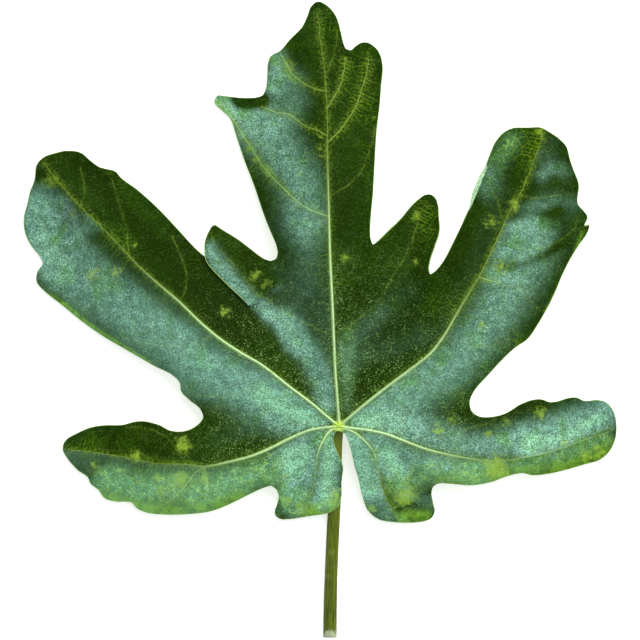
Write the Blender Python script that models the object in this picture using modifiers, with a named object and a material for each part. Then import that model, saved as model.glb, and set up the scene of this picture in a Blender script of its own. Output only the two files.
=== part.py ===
"""A picked fig leaf lying face up: a deeply lobed, gently arched blade with raised ribs, and its stalk.

The plan of the leaf is drawn on a square page, x to the right and y down, and is turned into metres by the
blade's real width. The leaf rests on z = 0, its middle lobe points along +Y and its upper face looks up +Z.
"""
import math
from typing import NamedTuple

import bmesh
import bpy
import numpy as np
from mathutils import Vector, geometry

# Driving dimensions, in metres
BLADE_WIDTH = 0.190
LAMINA = 0.0007
RIB_THICKNESS = 0.0026
BOSS_RADIUS = 0.0045
STALK_DIAMETER = 0.0042

# The page that the plan is drawn on, in page squares
PAGE_BLADE_WIDTH = 594.5
PAGE_CENTRE = (320.25, 319.25)
SQUARE = BLADE_WIDTH / PAGE_BLADE_WIDTH

# Spacing of the blade's points, in metres
MARGIN_STEP = 0.0021
RIB_STEP = 0.0030
SHEET_STEP = 0.0041
SHEET_CLEARANCE = 0.0019
POINT_GAP = 0.0008
MARGIN_CLEARANCE = 0.0012
CDT_MERGE = 1e-7

# The triangulation's setting that keeps only what lies inside the margin
INSIDE_ONLY = 1

# The arch of the blade, in metres above the surface that it lies on
JUNCTION_HEIGHT = 0.0095
DROOP = 0.0046
DROOP_REACH = 0.020
DROOP_POWER = 1.4
RIB_FALL_POWER = 1.5
RIB_BLEND = 0.003
RIB_PULL = 3
LOWEST_FREE = 0.0006
LOWEST_BLEND = 0.002

# Relief between and along the veins, in metres
QUILT = 0.0008
QUILT_REACH = 0.0035
CREST = 0.0003
RIB_HALF_WIDTH = 0.0013
RIB_TIP_SHARE = 0.3
SIDE_VEIN_HALF_WIDTH = 0.0009
SIDE_VEIN_SHARE = 0.42
WAVE = 0.0011
WAVE_REACH = 0.007
WAVE_LENGTH = 0.024
WAVE_DIRECTIONS = [(1.0, 0.4, 0.0), (-0.5, 1.1, 1.3)]

# The flat spots that the blade stands on, and how the small left lobe laps over its neighbour, in metres
FOOT_FLAT = 0.0032
FOOT_RING = 0.0029
FOOT_SIDES = 6
FOOT_REACH = 0.0150
LAP_HEIGHT = 0.0018
LAP_REACH = 0.013

# The blade's rise over the stalk
STALK_COVER = 0.0005
COVER_SLOPE = 0.22
COVER_BLEND = 0.0003

LEAF_GREEN = (0.07, 0.17, 0.05)
STALK_OLIVE = (0.11, 0.16, 0.03)

# Page place where the main ribs and the stalk meet
JUNCTION = (339, 426)

# The margin of each lobe, clockwise on the page from the tip of the middle lobe
MIDDLE_LOBE_RIGHT = [
    (318, 0.5), (324, 2.5), (331, 8), (337, 17), (341, 31), (343.5, 42), (346, 48), (351, 49.5),
    (356, 45), (364, 41.5), (373, 44.5), (380, 53), (383, 66), (381.5, 85), (380, 105), (377, 130),
    (375, 160), (373, 195), (370.5, 222), (370.5, 238), (373, 244.5)]
RIGHT_SMALL_LOBE = [
    (378, 241), (388, 231), (400, 219.5), (411, 206), (419, 198.5), (427, 194), (434, 196), (438, 204),
    (439, 216), (439.5, 231), (434.5, 247), (430, 260), (428.5, 269), (430, 274)]
RIGHT_UPPER_LOBE = [
    (435, 271), (443, 261), (452.5, 243), (464, 219), (470, 205), (472, 195), (476, 184), (480, 175),
    (485, 167), (490, 154), (496, 141), (504, 132), (513, 127.5), (528, 127), (541, 127), (549, 131),
    (560, 138.5), (567, 146), (571, 160), (575, 171), (579.5, 184), (578.5, 203), (585, 211),
    (588.5, 217), (585.5, 225), (590, 224), (588, 233), (579, 246), (570, 261), (562, 277),
    (557, 289), (550, 304), (538, 325), (528, 339), (515, 348), (503, 359), (489, 374), (474, 391),
    (469.5, 402)]
RIGHT_LOWER_LOBE = [
    (471, 410), (479, 416), (494, 416), (507, 412), (520, 404), (533, 399.5), (542, 399.2), (550, 402),
    (558, 401), (568, 398), (577, 397.5), (585, 401), (599, 400.3), (608, 403.5), (615, 413),
    (617.5, 427), (616, 440), (610, 452), (600, 460.5), (586, 464.5), (566, 470), (550, 473.5),
    (532, 475.2), (522, 473), (507, 476), (490, 482), (470, 485), (450, 483.5), (438, 483.5), (433, 487)]
RIGHT_BASAL_LOBE = [
    (431.5, 494), (433.5, 504), (435, 512), (431, 519), (420, 522.5), (392, 522.5), (378, 519.5),
    (368, 511), (362, 496), (358, 478), (354.3, 466), (352.5, 458), (349, 444), (345, 434), (341, 431.2)]
LEFT_BASAL_LOBE = [
    (336.5, 431), (333.8, 435), (334, 442), (339, 456), (343, 466), (341.8, 482), (341.5, 497),
    (339.5, 504.5), (334, 510), (327, 513.5), (308, 516.5), (288, 519.5), (279, 518.8), (274.5, 513.5),
    (277, 504), (278.5, 497), (276.5, 490), (271, 486)]
LEFT_LOWER_LOBE = [
    (263, 488), (250, 494), (230, 504), (212, 511), (192, 513.8), (165, 514.8), (146, 512.8),
    (136.5, 508.5), (131, 502.8), (115, 502), (104, 498.5), (98, 490.5), (90, 484), (87, 477.5),
    (77, 470.5), (66.5, 458.5), (62, 449), (65.5, 440), (76, 433.5), (90, 427.5), (104, 425.2),
    (122, 424.8), (135, 421.5), (145, 421.2), (160, 425), (170, 430), (183, 431), (195, 426.5),
    (203, 417.5)]
LEFT_UPPER_LOBE = [
    (200, 409), (189, 400), (181, 391.5), (179.5, 382.5), (171, 374.5), (154, 366), (126, 350),
    (102, 336), (80, 320.5), (61, 305), (44, 291.5), (36, 282), (36.5, 271.5), (42, 263.5),
    (39, 256.5), (30, 245), (24, 232), (23, 217), (26, 205), (29.5, 191), (34, 180), (36, 165),
    (43, 157), (56, 152.2), (66, 150.2), (80, 152), (90, 160), (99, 166.5), (115, 171), (121, 177.5),
    (138, 190), (158, 208), (177, 228), (196, 248.5)]
SLIT_OUTER_SIDE = [(208, 259.5), (225, 279.5), (241, 294), (255, 307.5), (262, 316)]
SLIT_INNER_SIDE = [(258.5, 306), (244, 292.2), (228.5, 278), (211, 258.5)]
LEFT_SMALL_LOBE = [
    (208, 248), (207.2, 239), (210, 229.5), (214, 224.5), (223, 229), (238, 238.5), (252, 249.5),
    (264, 258.5), (271, 260.7), (276, 258.5), (277.5, 253)]
MIDDLE_LOBE_LEFT = [
    (276, 245), (270, 231), (263, 213), (254, 186), (244, 160), (236, 136), (230, 118.5),
    (222, 110.5), (215, 104), (214, 100.5), (217, 95), (224, 95.3), (240, 97), (256, 96.8),
    (262.5, 94.5), (266, 86.5), (267, 74), (267.6, 63), (271, 55), (280, 50), (290, 38.5), (302, 26),
    (307, 15.5), (311, 5.5)]
MARGIN = (MIDDLE_LOBE_RIGHT + RIGHT_SMALL_LOBE + RIGHT_UPPER_LOBE + RIGHT_LOWER_LOBE
          + RIGHT_BASAL_LOBE + LEFT_BASAL_LOBE + LEFT_LOWER_LOBE + LEFT_UPPER_LOBE
          + SLIT_OUTER_SIDE + SLIT_INNER_SIDE + LEFT_SMALL_LOBE + MIDDLE_LOBE_LEFT)


class Rib(NamedTuple):
    """A main rib: how far it arches up on its way, the height of its tip, and its places on the page."""
    crown: float
    tip: float
    route: list


# The main ribs, each from the junction to the tip of its lobe
MAIN_RIBS = {
    "middle": Rib(0.0055, 0.0018, [
        JUNCTION, (335, 370), (332, 300), (329, 220), (327.5, 160), (327, 105), (324, 65), (320, 38),
        (318, 12)]),
    "left_upper": Rib(0.0055, 0.0018, [
        JUNCTION, (310, 402), (262, 365), (210, 330), (160, 285), (120, 246), (80, 206), (44, 163)]),
    "right_upper": Rib(0.0055, 0.0018, [
        JUNCTION, (385, 388), (430, 353), (457, 312), (482, 270), (500, 232), (520, 194), (531, 169),
        (543, 138)]),
    "left_lower": Rib(0.0045, 0.0018, [
        JUNCTION, (315, 428.5), (288, 440), (250, 456), (205, 466), (155, 463), (115, 456), (68, 450)]),
    "right_lower": Rib(0.0045, 0.0018, [
        JUNCTION, (365, 429.5), (395, 437), (435, 451), (475, 460), (520, 457), (565, 447), (610, 432)]),
    "left_basal": Rib(0.0015, 0.0050, [
        JUNCTION, (325, 437), (317, 452), (315.5, 475), (307, 508)]),
    "right_basal": Rib(0.0015, 0.0032, [
        JUNCTION, (356, 433), (371, 447), (378, 470), (392, 510)]),
}

# Side veins, each from the rib that it leaves to near the margin
SIDE_VEINS = [
    [(328, 217), (307, 209), (278, 185), (255, 155), (240, 128), (222, 102)],
    [(327, 134), (307, 127), (285, 112), (262, 106)],
    [(325, 91), (307, 86), (291, 72), (281, 58)],
    [(330, 199), (344, 188), (360, 174), (369, 152), (374, 122)],
    [(328, 145), (345, 124), (357, 103), (364, 82), (369, 56)],
    [(328, 108), (338, 90), (344, 72), (350, 58)],
    [(335, 338), (297, 319), (268, 299), (243, 270), (214, 236)],
    [(335, 336), (352, 324), (378, 301), (402, 262), (417, 228), (427, 203)],
    [(216, 335), (190, 343), (150, 344), (120, 338)],
    [(277, 377), (250, 388), (210, 395), (190, 393)],
    [(130, 256), (117, 272), (100, 290), (78, 308)],
    [(180, 302), (186, 280), (182, 258), (172, 236)],
    [(130, 256), (127, 230), (118, 205), (112, 180)],
    [(205, 466), (189, 481), (170, 500), (150, 508)],
    [(178, 464), (175, 447), (155, 431), (130, 428)],
    [(279, 445), (278, 465), (270, 480)],
    [(478, 279), (500, 283), (521, 292), (540, 308)],
    [(441, 337), (463, 342), (485, 345), (508, 340)],
    [(407, 371), (430, 385), (450, 394), (464, 391)],
    [(496, 243), (525, 249), (553, 244), (574, 232)],
    [(520, 195), (545, 197), (573, 196)],
    [(437, 452), (460, 430), (490, 424)],
    [(475, 460), (500, 462), (525, 468)],
]

# Page places of the spots where the blade touches the surface
FEET = [(319, 10), (33, 222), (578, 236), (607, 429), (71, 451)]

# The stalk's middle line, as page places with heights in metres, and its thickness along the way
STALK_ROUTE = [
    (338.6, 423, 0.0051), (338.5, 434, 0.00485), (338, 450, 0.0041), (336.6, 475, 0.0028),
    (334.6, 505, 0.0018), (332.4, 545, 0.00175), (330.6, 595, 0.00175), (330, 637.8, 0.00175)]
STALK_GROWTH = [1.06, 1.02, 0.98, 0.97, 0.97, 0.98, 1.02, 1.04]
STALK_STEP = 0.007
WELD = 0.00001


def on_page(place):
    """A place on the page, as a point in metres."""
    return np.array([(place[0] - PAGE_CENTRE[0]) * SQUARE, (PAGE_CENTRE[1] - place[1]) * SQUARE])


def smooth_line(points, step, closed=False):
    """Points about a step apart on a smooth line that passes through all the given points."""
    points = [np.asarray(point, float) for point in points]
    count = len(points)
    if closed:
        ring = [points[-1]] + points + points[:2]
    else:
        ring = [2 * points[0] - points[1]] + points + [2 * points[-1] - points[-2]]
    spans = count if closed else count - 1
    line = []
    for i in range(spans):
        before, start, end, after = ring[i:i + 4]
        knots = [0.0]
        for a, b in ((before, start), (start, end), (end, after)):
            knots.append(knots[-1] + math.sqrt(np.linalg.norm(b - a)))
        pieces = max(1, round(np.linalg.norm(end[:2] - start[:2]) / step))
        for j in range(pieces):
            t = knots[1] + (knots[2] - knots[1]) * j / pieces
            line.append(between_knots(before, start, end, after, knots, t))
    if not closed:
        line.append(points[-1])
    return np.array(line)


def page_line(places, step, closed=False):
    """A smooth line through places on the page, in metres."""
    return smooth_line([on_page(place) for place in places], step, closed)


def between_knots(before, start, end, after, knots, t):
    """The point at t of the centripetal Catmull-Rom span between start and end."""
    k0, k1, k2, k3 = knots
    a1 = (k1 - t) / (k1 - k0) * before + (t - k0) / (k1 - k0) * start
    a2 = (k2 - t) / (k2 - k1) * start + (t - k1) / (k2 - k1) * end
    a3 = (k3 - t) / (k3 - k2) * end + (t - k2) / (k3 - k2) * after
    b1 = (k2 - t) / (k2 - k0) * a1 + (t - k0) / (k2 - k0) * a2
    b2 = (k3 - t) / (k3 - k1) * a2 + (t - k1) / (k3 - k1) * a3
    return (k2 - t) / (k2 - k1) * b1 + (t - k1) / (k2 - k1) * b2


def along_line(points, line):
    """Each point's distance to a line, and how far along the line its nearest place is, from 0 to 1."""
    best = np.full(len(points), np.inf)
    place = np.zeros(len(points))
    lengths = np.linalg.norm(np.diff(line, axis=0), axis=1)
    run = np.concatenate([[0.0], np.cumsum(lengths)])
    for i, length in enumerate(lengths):
        direction = (line[i + 1] - line[i]) / length
        reach = np.clip((points - line[i]) @ direction, 0.0, length)
        distance = np.linalg.norm(points - line[i] - reach[:, None] * direction, axis=1)
        nearer = distance < best
        best = np.where(nearer, distance, best)
        place = np.where(nearer, run[i] + reach, place)
    return best, place / run[-1]


def smooth_step(value):
    """0 below 0, 1 above 1, and a smooth change between."""
    t = np.clip(value, 0.0, 1.0)
    return t * t * (3 - 2 * t)


def smooth_max(a, b, blend):
    """The larger of a and b, rounded where they are less than blend apart."""
    h = np.clip(0.5 + 0.5 * (a - b) / blend, 0.0, 1.0)
    return b + (a - b) * h + blend * h * (1 - h)


class Plan:
    """The lines of the leaf in metres, seen from above."""

    def __init__(self):
        self.margin = page_line(MARGIN, MARGIN_STEP, closed=True)
        self.ribs = [page_line(rib.route, RIB_STEP) for rib in MAIN_RIBS.values()]
        self.side_veins = [page_line(route, RIB_STEP) for route in SIDE_VEINS]
        self.slit_sides = page_line(SLIT_OUTER_SIDE, MARGIN_STEP), page_line(SLIT_INNER_SIDE, MARGIN_STEP)
        self.junction = on_page(JUNCTION)
        self.feet = [on_page(place) for place in FEET]
        self.stalk = smooth_line([(*on_page(place[:2]), place[2]) for place in STALK_ROUTE], STALK_STEP)

    def to_margin(self, points):
        """Each point's distance to the margin."""
        return along_line(points, np.vstack([self.margin, self.margin[:1]]))[0]


def stalk_cover(points, plan):
    """The height that the blade's upper face needs, to pass over the stalk."""
    distance, along = along_line(points, plan.stalk[:, :2])
    heights = plan.stalk[:, 2]
    centre = np.interp(along * (len(heights) - 1), range(len(heights)), heights)
    top = centre + STALK_DIAMETER / 2 + STALK_COVER + LAMINA
    return top - COVER_SLOPE * np.maximum(0.0, distance - STALK_DIAMETER / 2)


def arch(points, plan):
    """Height of the smooth arch above the surface: each rib is a ridge that the blade droops from."""
    total = np.zeros(len(points))
    weights = np.zeros(len(points))
    for line, rib in zip(plan.ribs, MAIN_RIBS.values()):
        distance, along = along_line(points, line)
        fall = (JUNCTION_HEIGHT - rib.tip) * along ** RIB_FALL_POWER
        ridge = JUNCTION_HEIGHT + rib.crown * np.sin(math.pi * along) - fall
        weight = 1.0 / (distance + RIB_BLEND) ** RIB_PULL
        total += weight * (ridge - DROOP * (distance / DROOP_REACH) ** DROOP_POWER)
        weights += weight
    return total / weights


def lap(points, plan):
    """The lift of the small left lobe along the slit, where it lies over its neighbour."""
    outer_gap = along_line(points, plan.slit_sides[0])[0]
    inner_gap, along = along_line(points, plan.slit_sides[1])
    lift = LAP_HEIGHT * smooth_step(along) * smooth_step(1 - inner_gap / LAP_REACH)
    return np.where(inner_gap < outer_gap, lift, 0.0)


def relief(points, vein_gap, margin_gap):
    """Bulges between the veins, and the waves of the margin."""
    bulge = QUILT * (1 - np.exp(-(vein_gap / QUILT_REACH) ** 2))
    swell = np.zeros(len(points))
    for x_share, y_share, phase in WAVE_DIRECTIONS:
        travel = points @ np.array([x_share, y_share])
        swell += np.sin(2 * math.pi * travel / WAVE_LENGTH + phase)
    return bulge + WAVE * swell / len(WAVE_DIRECTIONS) * np.exp(-margin_gap / WAVE_REACH)


def ridge_strength(points, lines, half_width):
    """How much each point belongs to a ridge: 1 on a line at its start, less to its sides and its tip."""
    strength = np.zeros(len(points))
    for line in lines:
        distance, along = along_line(points, line)
        section = np.clip(1 - (distance / half_width) ** 2, 0, 1)
        strength = np.maximum(strength, section * (1 - (1 - RIB_TIP_SHARE) * along))
    return strength


def nearest_of(points, lines):
    """Each point's distance to the nearest of several lines."""
    return np.min([along_line(points, line)[0] for line in lines], axis=0)


def on_the_ground(points, plan):
    """0 on the flat spots that the blade stands on, rising to 1 away from them."""
    free = np.ones(len(points))
    for foot in plan.feet:
        away = np.linalg.norm(points - foot, axis=1)
        free *= smooth_step((away - FOOT_FLAT) / FOOT_REACH)
    return free


def upper_face(points, plan):
    """Heights of the blade's upper face, and each point's rib strength from 0 to 1."""
    free = on_the_ground(points, plan)
    ribs = ridge_strength(points, plan.ribs, RIB_HALF_WIDTH)
    side_veins = SIDE_VEIN_SHARE * ridge_strength(points, plan.side_veins, SIDE_VEIN_HALF_WIDTH)
    boss = 1 - (np.linalg.norm(points - plan.junction, axis=1) / BOSS_RADIUS) ** 2
    strength = np.maximum.reduce([ribs, side_veins, boss]) * free

    vein_gap = nearest_of(points, plan.ribs + plan.side_veins)
    above = arch(points, plan) + relief(points, vein_gap, plan.to_margin(points)) + CREST * ribs
    above = smooth_max(above, LOWEST_FREE, LOWEST_BLEND) * free + lap(points, plan)
    heights = smooth_max(above + LAMINA, stalk_cover(points, plan), COVER_BLEND)
    thickness = LAMINA + (RIB_THICKNESS - LAMINA) * strength
    return np.maximum(heights, thickness), strength


def sheet_points(plan):
    """Loose points that fill the sheet in a staggered grid, clear of the margin and of the ribs."""
    low = plan.margin.min(axis=0)
    high = plan.margin.max(axis=0)
    rows = []
    for row, y in enumerate(np.arange(low[1], high[1], SHEET_STEP * math.sqrt(3) / 2)):
        start = low[0] + (row % 2) * SHEET_STEP / 2
        rows += [(x, y) for x in np.arange(start, high[0], SHEET_STEP)]
    points = np.array(rows)
    clear = plan.to_margin(points) > SHEET_CLEARANCE
    clear &= nearest_of(points, plan.ribs) > RIB_HALF_WIDTH + SHEET_CLEARANCE
    clear &= nearest_of(points, plan.side_veins) > SIDE_VEIN_HALF_WIDTH + SHEET_CLEARANCE
    for foot in plan.feet:
        clear &= np.linalg.norm(points - foot, axis=1) > FOOT_RING + SHEET_CLEARANCE
    return points[clear]


def beside(line, offset):
    """A line that runs beside another, at an offset to its left."""
    tangents = np.gradient(line, axis=0)
    tangents /= np.linalg.norm(tangents, axis=1)[:, None]
    return line + offset * np.column_stack([-tangents[:, 1], tangents[:, 0]])


def vein_network(plan):
    """Points along the ribs, the side veins and both sides of each, and the edges that join them."""
    lines = plan.ribs + plan.side_veins
    for side in (1, -1):
        lines += [beside(rib, side * RIB_HALF_WIDTH)[2:] for rib in plan.ribs]
        lines += [beside(vein, side * SIDE_VEIN_HALF_WIDTH)[1:] for vein in plan.side_veins]
    points = []
    edges = []
    for line in lines:
        clear = plan.to_margin(line) > MARGIN_CLEARANCE
        for foot in plan.feet:
            clear &= np.linalg.norm(line - foot, axis=1) > FOOT_RING + POINT_GAP
        last = None
        for place, free in zip(line, clear):
            if free and all(np.linalg.norm(place - other) > POINT_GAP for other in points):
                points.append(place)
                if last is not None:
                    edges.append((last, len(points) - 1))
                last = len(points) - 1
            else:
                last = None
    return np.array(points), edges


def foot_points(plan):
    """A centre and a ring for each flat spot."""
    angles = [2 * math.pi * i / FOOT_SIDES for i in range(FOOT_SIDES)]
    spots = []
    for foot in plan.feet:
        spots.append(foot)
        spots += [foot + FOOT_RING * np.array([math.cos(a), math.sin(a)]) for a in angles]
    return np.array(spots)


def make_blade(plan, collection):
    """The blade: a triangulated sheet within the margin, arched, then thickened downwards."""
    veins, joins = vein_network(plan)
    places = np.vstack([plan.margin, veins, foot_points(plan), sheet_points(plan)])
    edges = [(a + len(plan.margin), b + len(plan.margin)) for a, b in joins]
    ring = list(range(len(plan.margin)))
    cut = geometry.delaunay_2d_cdt([Vector(place) for place in places], edges, [ring], INSIDE_ONLY, CDT_MERGE)
    triangles = cut[2]
    flat = np.array([tuple(place) for place in cut[0]])
    heights, strength = upper_face(flat, plan)

    mesh = bpy.data.meshes.new("blade")
    mesh.from_pydata([(x, y, z) for (x, y), z in zip(flat, heights)], [], triangles)
    blade = bpy.data.objects.new("blade", mesh)
    collection.objects.link(blade)
    sheet = bmesh.new()
    sheet.from_mesh(mesh)
    bmesh.ops.recalc_face_normals(sheet, faces=sheet.faces)
    if sum(face.normal.z for face in sheet.faces) < 0:
        bmesh.ops.reverse_faces(sheet, faces=sheet.faces)
    sheet.to_mesh(mesh)
    sheet.free()

    ribs = blade.vertex_groups.new(name="ribs")
    for index, weight in enumerate(strength):
        ribs.add([index], float(weight), "REPLACE")
    thicken = blade.modifiers.new("thickness", "SOLIDIFY")
    thicken.thickness = RIB_THICKNESS
    thicken.offset = -1
    thicken.vertex_group = ribs.name
    thicken.thickness_vertex_group = LAMINA / RIB_THICKNESS
    return blade


def make_stalk(plan, collection):
    """The stalk: a bevelled curve with closed ends, flat underneath where it lies on the surface."""
    curve = bpy.data.curves.new("petiole", "CURVE")
    curve.dimensions = "3D"
    curve.bevel_depth = STALK_DIAMETER / 2
    curve.bevel_resolution = 3
    curve.use_fill_caps = True
    spline = curve.splines.new("POLY")
    spline.points.add(len(plan.stalk) - 1)
    for i, (point, place) in enumerate(zip(spline.points, plan.stalk)):
        point.co = (*place, 1.0)
        share = i / (len(plan.stalk) - 1) * (len(STALK_GROWTH) - 1)
        point.radius = float(np.interp(share, range(len(STALK_GROWTH)), STALK_GROWTH))
    guide = bpy.data.objects.new("petiole_guide", curve)
    collection.objects.link(guide)
    bpy.context.view_layer.update()
    mesh = bpy.data.meshes.new_from_object(guide.evaluated_get(bpy.context.evaluated_depsgraph_get()))
    bpy.data.objects.remove(guide)
    mesh.name = "petiole"
    tube = bmesh.new()
    tube.from_mesh(mesh)
    bmesh.ops.remove_doubles(tube, verts=tube.verts, dist=WELD)
    for vertex in tube.verts:
        vertex.co.z = max(vertex.co.z, 0.0)
    bmesh.ops.recalc_face_normals(tube, faces=tube.faces)
    tube.to_mesh(mesh)
    tube.free()
    petiole = bpy.data.objects.new("petiole", mesh)
    collection.objects.link(petiole)
    return petiole


def give_material(piece, name, colour, roughness):
    """One plain material for a piece."""
    material = bpy.data.materials.new(name)
    material.use_nodes = True
    shader = material.node_tree.nodes["Principled BSDF"]
    shader.inputs["Base Color"].default_value = (*colour, 1.0)
    shader.inputs["Roughness"].default_value = roughness
    shader.inputs["Metallic"].default_value = 0.0
    piece.data.materials.append(material)


def main():
    for item in list(bpy.data.objects):
        bpy.data.objects.remove(item)
    collection = bpy.data.collections.new("fig_leaf")
    bpy.context.scene.collection.children.link(collection)
    plan = Plan()
    blade = make_blade(plan, collection)
    give_material(blade, "leaf_green", LEAF_GREEN, 0.5)
    petiole = make_stalk(plan, collection)
    give_material(petiole, "stalk_olive", STALK_OLIVE, 0.55)
    petiole.data.shade_smooth()


main()
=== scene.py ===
"""The look of a picked fig leaf: a finely veined, softly shining blade and its olive stalk on a pale floor.

The leaf is drawn on a square page, x to the right and y down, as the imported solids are. The page is counted
in squares of about a third of a millimetre. All that is built is in metres, and the materials work in
millimetres.
"""
import math
from typing import NamedTuple

import bpy
import numpy as np
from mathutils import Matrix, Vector, geometry, kdtree


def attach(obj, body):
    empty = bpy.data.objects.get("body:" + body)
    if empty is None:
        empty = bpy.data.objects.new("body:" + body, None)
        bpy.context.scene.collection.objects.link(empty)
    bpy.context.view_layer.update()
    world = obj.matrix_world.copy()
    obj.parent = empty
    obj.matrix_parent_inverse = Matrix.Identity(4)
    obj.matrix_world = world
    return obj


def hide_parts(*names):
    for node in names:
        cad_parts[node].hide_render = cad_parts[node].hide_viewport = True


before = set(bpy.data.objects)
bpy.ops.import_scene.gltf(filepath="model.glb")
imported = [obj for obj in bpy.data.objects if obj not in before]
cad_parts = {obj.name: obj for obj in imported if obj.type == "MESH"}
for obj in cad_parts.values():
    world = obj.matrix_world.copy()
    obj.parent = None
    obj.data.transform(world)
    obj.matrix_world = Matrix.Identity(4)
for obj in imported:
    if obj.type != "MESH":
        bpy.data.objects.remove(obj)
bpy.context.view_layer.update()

MM = 0.001

# The page and its scale
BLADE_WIDTH = 0.190
PAGE_BLADE_WIDTH = 594.5
PAGE_CENTRE = (320.25, 319.25)
SQUARE = BLADE_WIDTH / PAGE_BLADE_WIDTH
PHOTO_SQUARES = 640

JUNCTION = (339, 426)

# The margin of each lobe, clockwise on the page from the tip of the middle lobe
MIDDLE_LOBE_RIGHT = [
    (318, 0.5), (324, 2.5), (331, 8), (337, 17), (341, 31), (343.5, 42), (346, 48), (351, 49.5),
    (356, 45), (364, 41.5), (373, 44.5), (380, 53), (383, 66), (381.5, 85), (380, 105), (377, 130),
    (375, 160), (373, 195), (370.5, 222), (370.5, 238), (373, 244.5)]
RIGHT_SMALL_LOBE = [
    (378, 241), (388, 231), (400, 219.5), (411, 206), (419, 198.5), (427, 194), (434, 196), (438, 204),
    (439, 216), (439.5, 231), (434.5, 247), (430, 260), (428.5, 269), (430, 274)]
RIGHT_UPPER_LOBE = [
    (435, 271), (443, 261), (452.5, 243), (464, 219), (470, 205), (472, 195), (476, 184), (480, 175),
    (485, 167), (490, 154), (496, 141), (504, 132), (513, 127.5), (528, 127), (541, 127), (549, 131),
    (560, 138.5), (567, 146), (571, 160), (575, 171), (579.5, 184), (578.5, 203), (585, 211),
    (588.5, 217), (585.5, 225), (590, 224), (588, 233), (579, 246), (570, 261), (562, 277),
    (557, 289), (550, 304), (538, 325), (528, 339), (515, 348), (503, 359), (489, 374), (474, 391),
    (469.5, 402)]
RIGHT_LOWER_LOBE = [
    (471, 410), (479, 416), (494, 416), (507, 412), (520, 404), (533, 399.5), (542, 399.2), (550, 402),
    (558, 401), (568, 398), (577, 397.5), (585, 401), (599, 400.3), (608, 403.5), (615, 413),
    (617.5, 427), (616, 440), (610, 452), (600, 460.5), (586, 464.5), (566, 470), (550, 473.5),
    (532, 475.2), (522, 473), (507, 476), (490, 482), (470, 485), (450, 483.5), (438, 483.5), (433, 487)]
RIGHT_BASAL_LOBE = [
    (431.5, 494), (433.5, 504), (435, 512), (431, 519), (420, 522.5), (392, 522.5), (378, 519.5),
    (368, 511), (362, 496), (358, 478), (354.3, 466), (352.5, 458), (349, 444), (345, 434), (341, 431.2)]
LEFT_BASAL_LOBE = [
    (336.5, 431), (333.8, 435), (334, 442), (339, 456), (343, 466), (341.8, 482), (341.5, 497),
    (339.5, 504.5), (334, 510), (327, 513.5), (308, 516.5), (288, 519.5), (279, 518.8), (274.5, 513.5),
    (277, 504), (278.5, 497), (276.5, 490), (271, 486)]
LEFT_LOWER_LOBE = [
    (263, 488), (250, 494), (230, 504), (212, 511), (192, 513.8), (165, 514.8), (146, 512.8),
    (136.5, 508.5), (131, 502.8), (115, 502), (104, 498.5), (98, 490.5), (90, 484), (87, 477.5),
    (77, 470.5), (66.5, 458.5), (62, 449), (65.5, 440), (76, 433.5), (90, 427.5), (104, 425.2),
    (122, 424.8), (135, 421.5), (145, 421.2), (160, 425), (170, 430), (183, 431), (195, 426.5),
    (203, 417.5)]
LEFT_UPPER_LOBE = [
    (200, 409), (189, 400), (181, 391.5), (179.5, 382.5), (171, 374.5), (154, 366), (126, 350),
    (102, 336), (80, 320.5), (61, 305), (44, 291.5), (36, 282), (36.5, 271.5), (42, 263.5),
    (39, 256.5), (30, 245), (24, 232), (23, 217), (26, 205), (29.5, 191), (34, 180), (36, 165),
    (43, 157), (56, 152.2), (66, 150.2), (80, 152), (90, 160), (99, 166.5), (115, 171), (121, 177.5),
    (138, 190), (158, 208), (177, 228), (196, 248.5)]
SLIT_OUTER_SIDE = [(208, 259.5), (225, 279.5), (241, 294), (252.6, 303.6), (256, 307)]
SLIT_INNER_SIDE = [(255.8, 306), (253.4, 302.6), (244, 292.6), (228.5, 278), (211, 258.5)]
LEFT_SMALL_LOBE = [
    (208, 248), (207.2, 239), (210, 229.5), (214, 224.5), (223, 229), (238, 238.5), (252, 249.5),
    (264, 258.5), (271, 260.7), (276, 258.5), (277.5, 253)]
MIDDLE_LOBE_LEFT = [
    (276, 245), (270, 231), (263, 213), (254, 186), (244, 160), (236, 136), (230, 118.5),
    (222, 110.5), (215, 104), (214, 100.5), (217, 95), (224, 95.3), (240, 97), (256, 96.8),
    (262.5, 94.5), (266, 86.5), (267, 74), (267.6, 63), (271, 55), (280, 50), (290, 38.5), (302, 26),
    (307, 15.5), (311, 5.5)]
MARGIN = (MIDDLE_LOBE_RIGHT + RIGHT_SMALL_LOBE + RIGHT_UPPER_LOBE + RIGHT_LOWER_LOBE
          + RIGHT_BASAL_LOBE + LEFT_BASAL_LOBE + LEFT_LOWER_LOBE + LEFT_UPPER_LOBE
          + SLIT_OUTER_SIDE + SLIT_INNER_SIDE + LEFT_SMALL_LOBE + MIDDLE_LOBE_LEFT)


class Rib(NamedTuple):
    """A main rib: its rise and the height of its tip, the pale share of it, and its way on the page."""
    crown: float
    tip: float
    clear: float
    route: list


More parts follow.
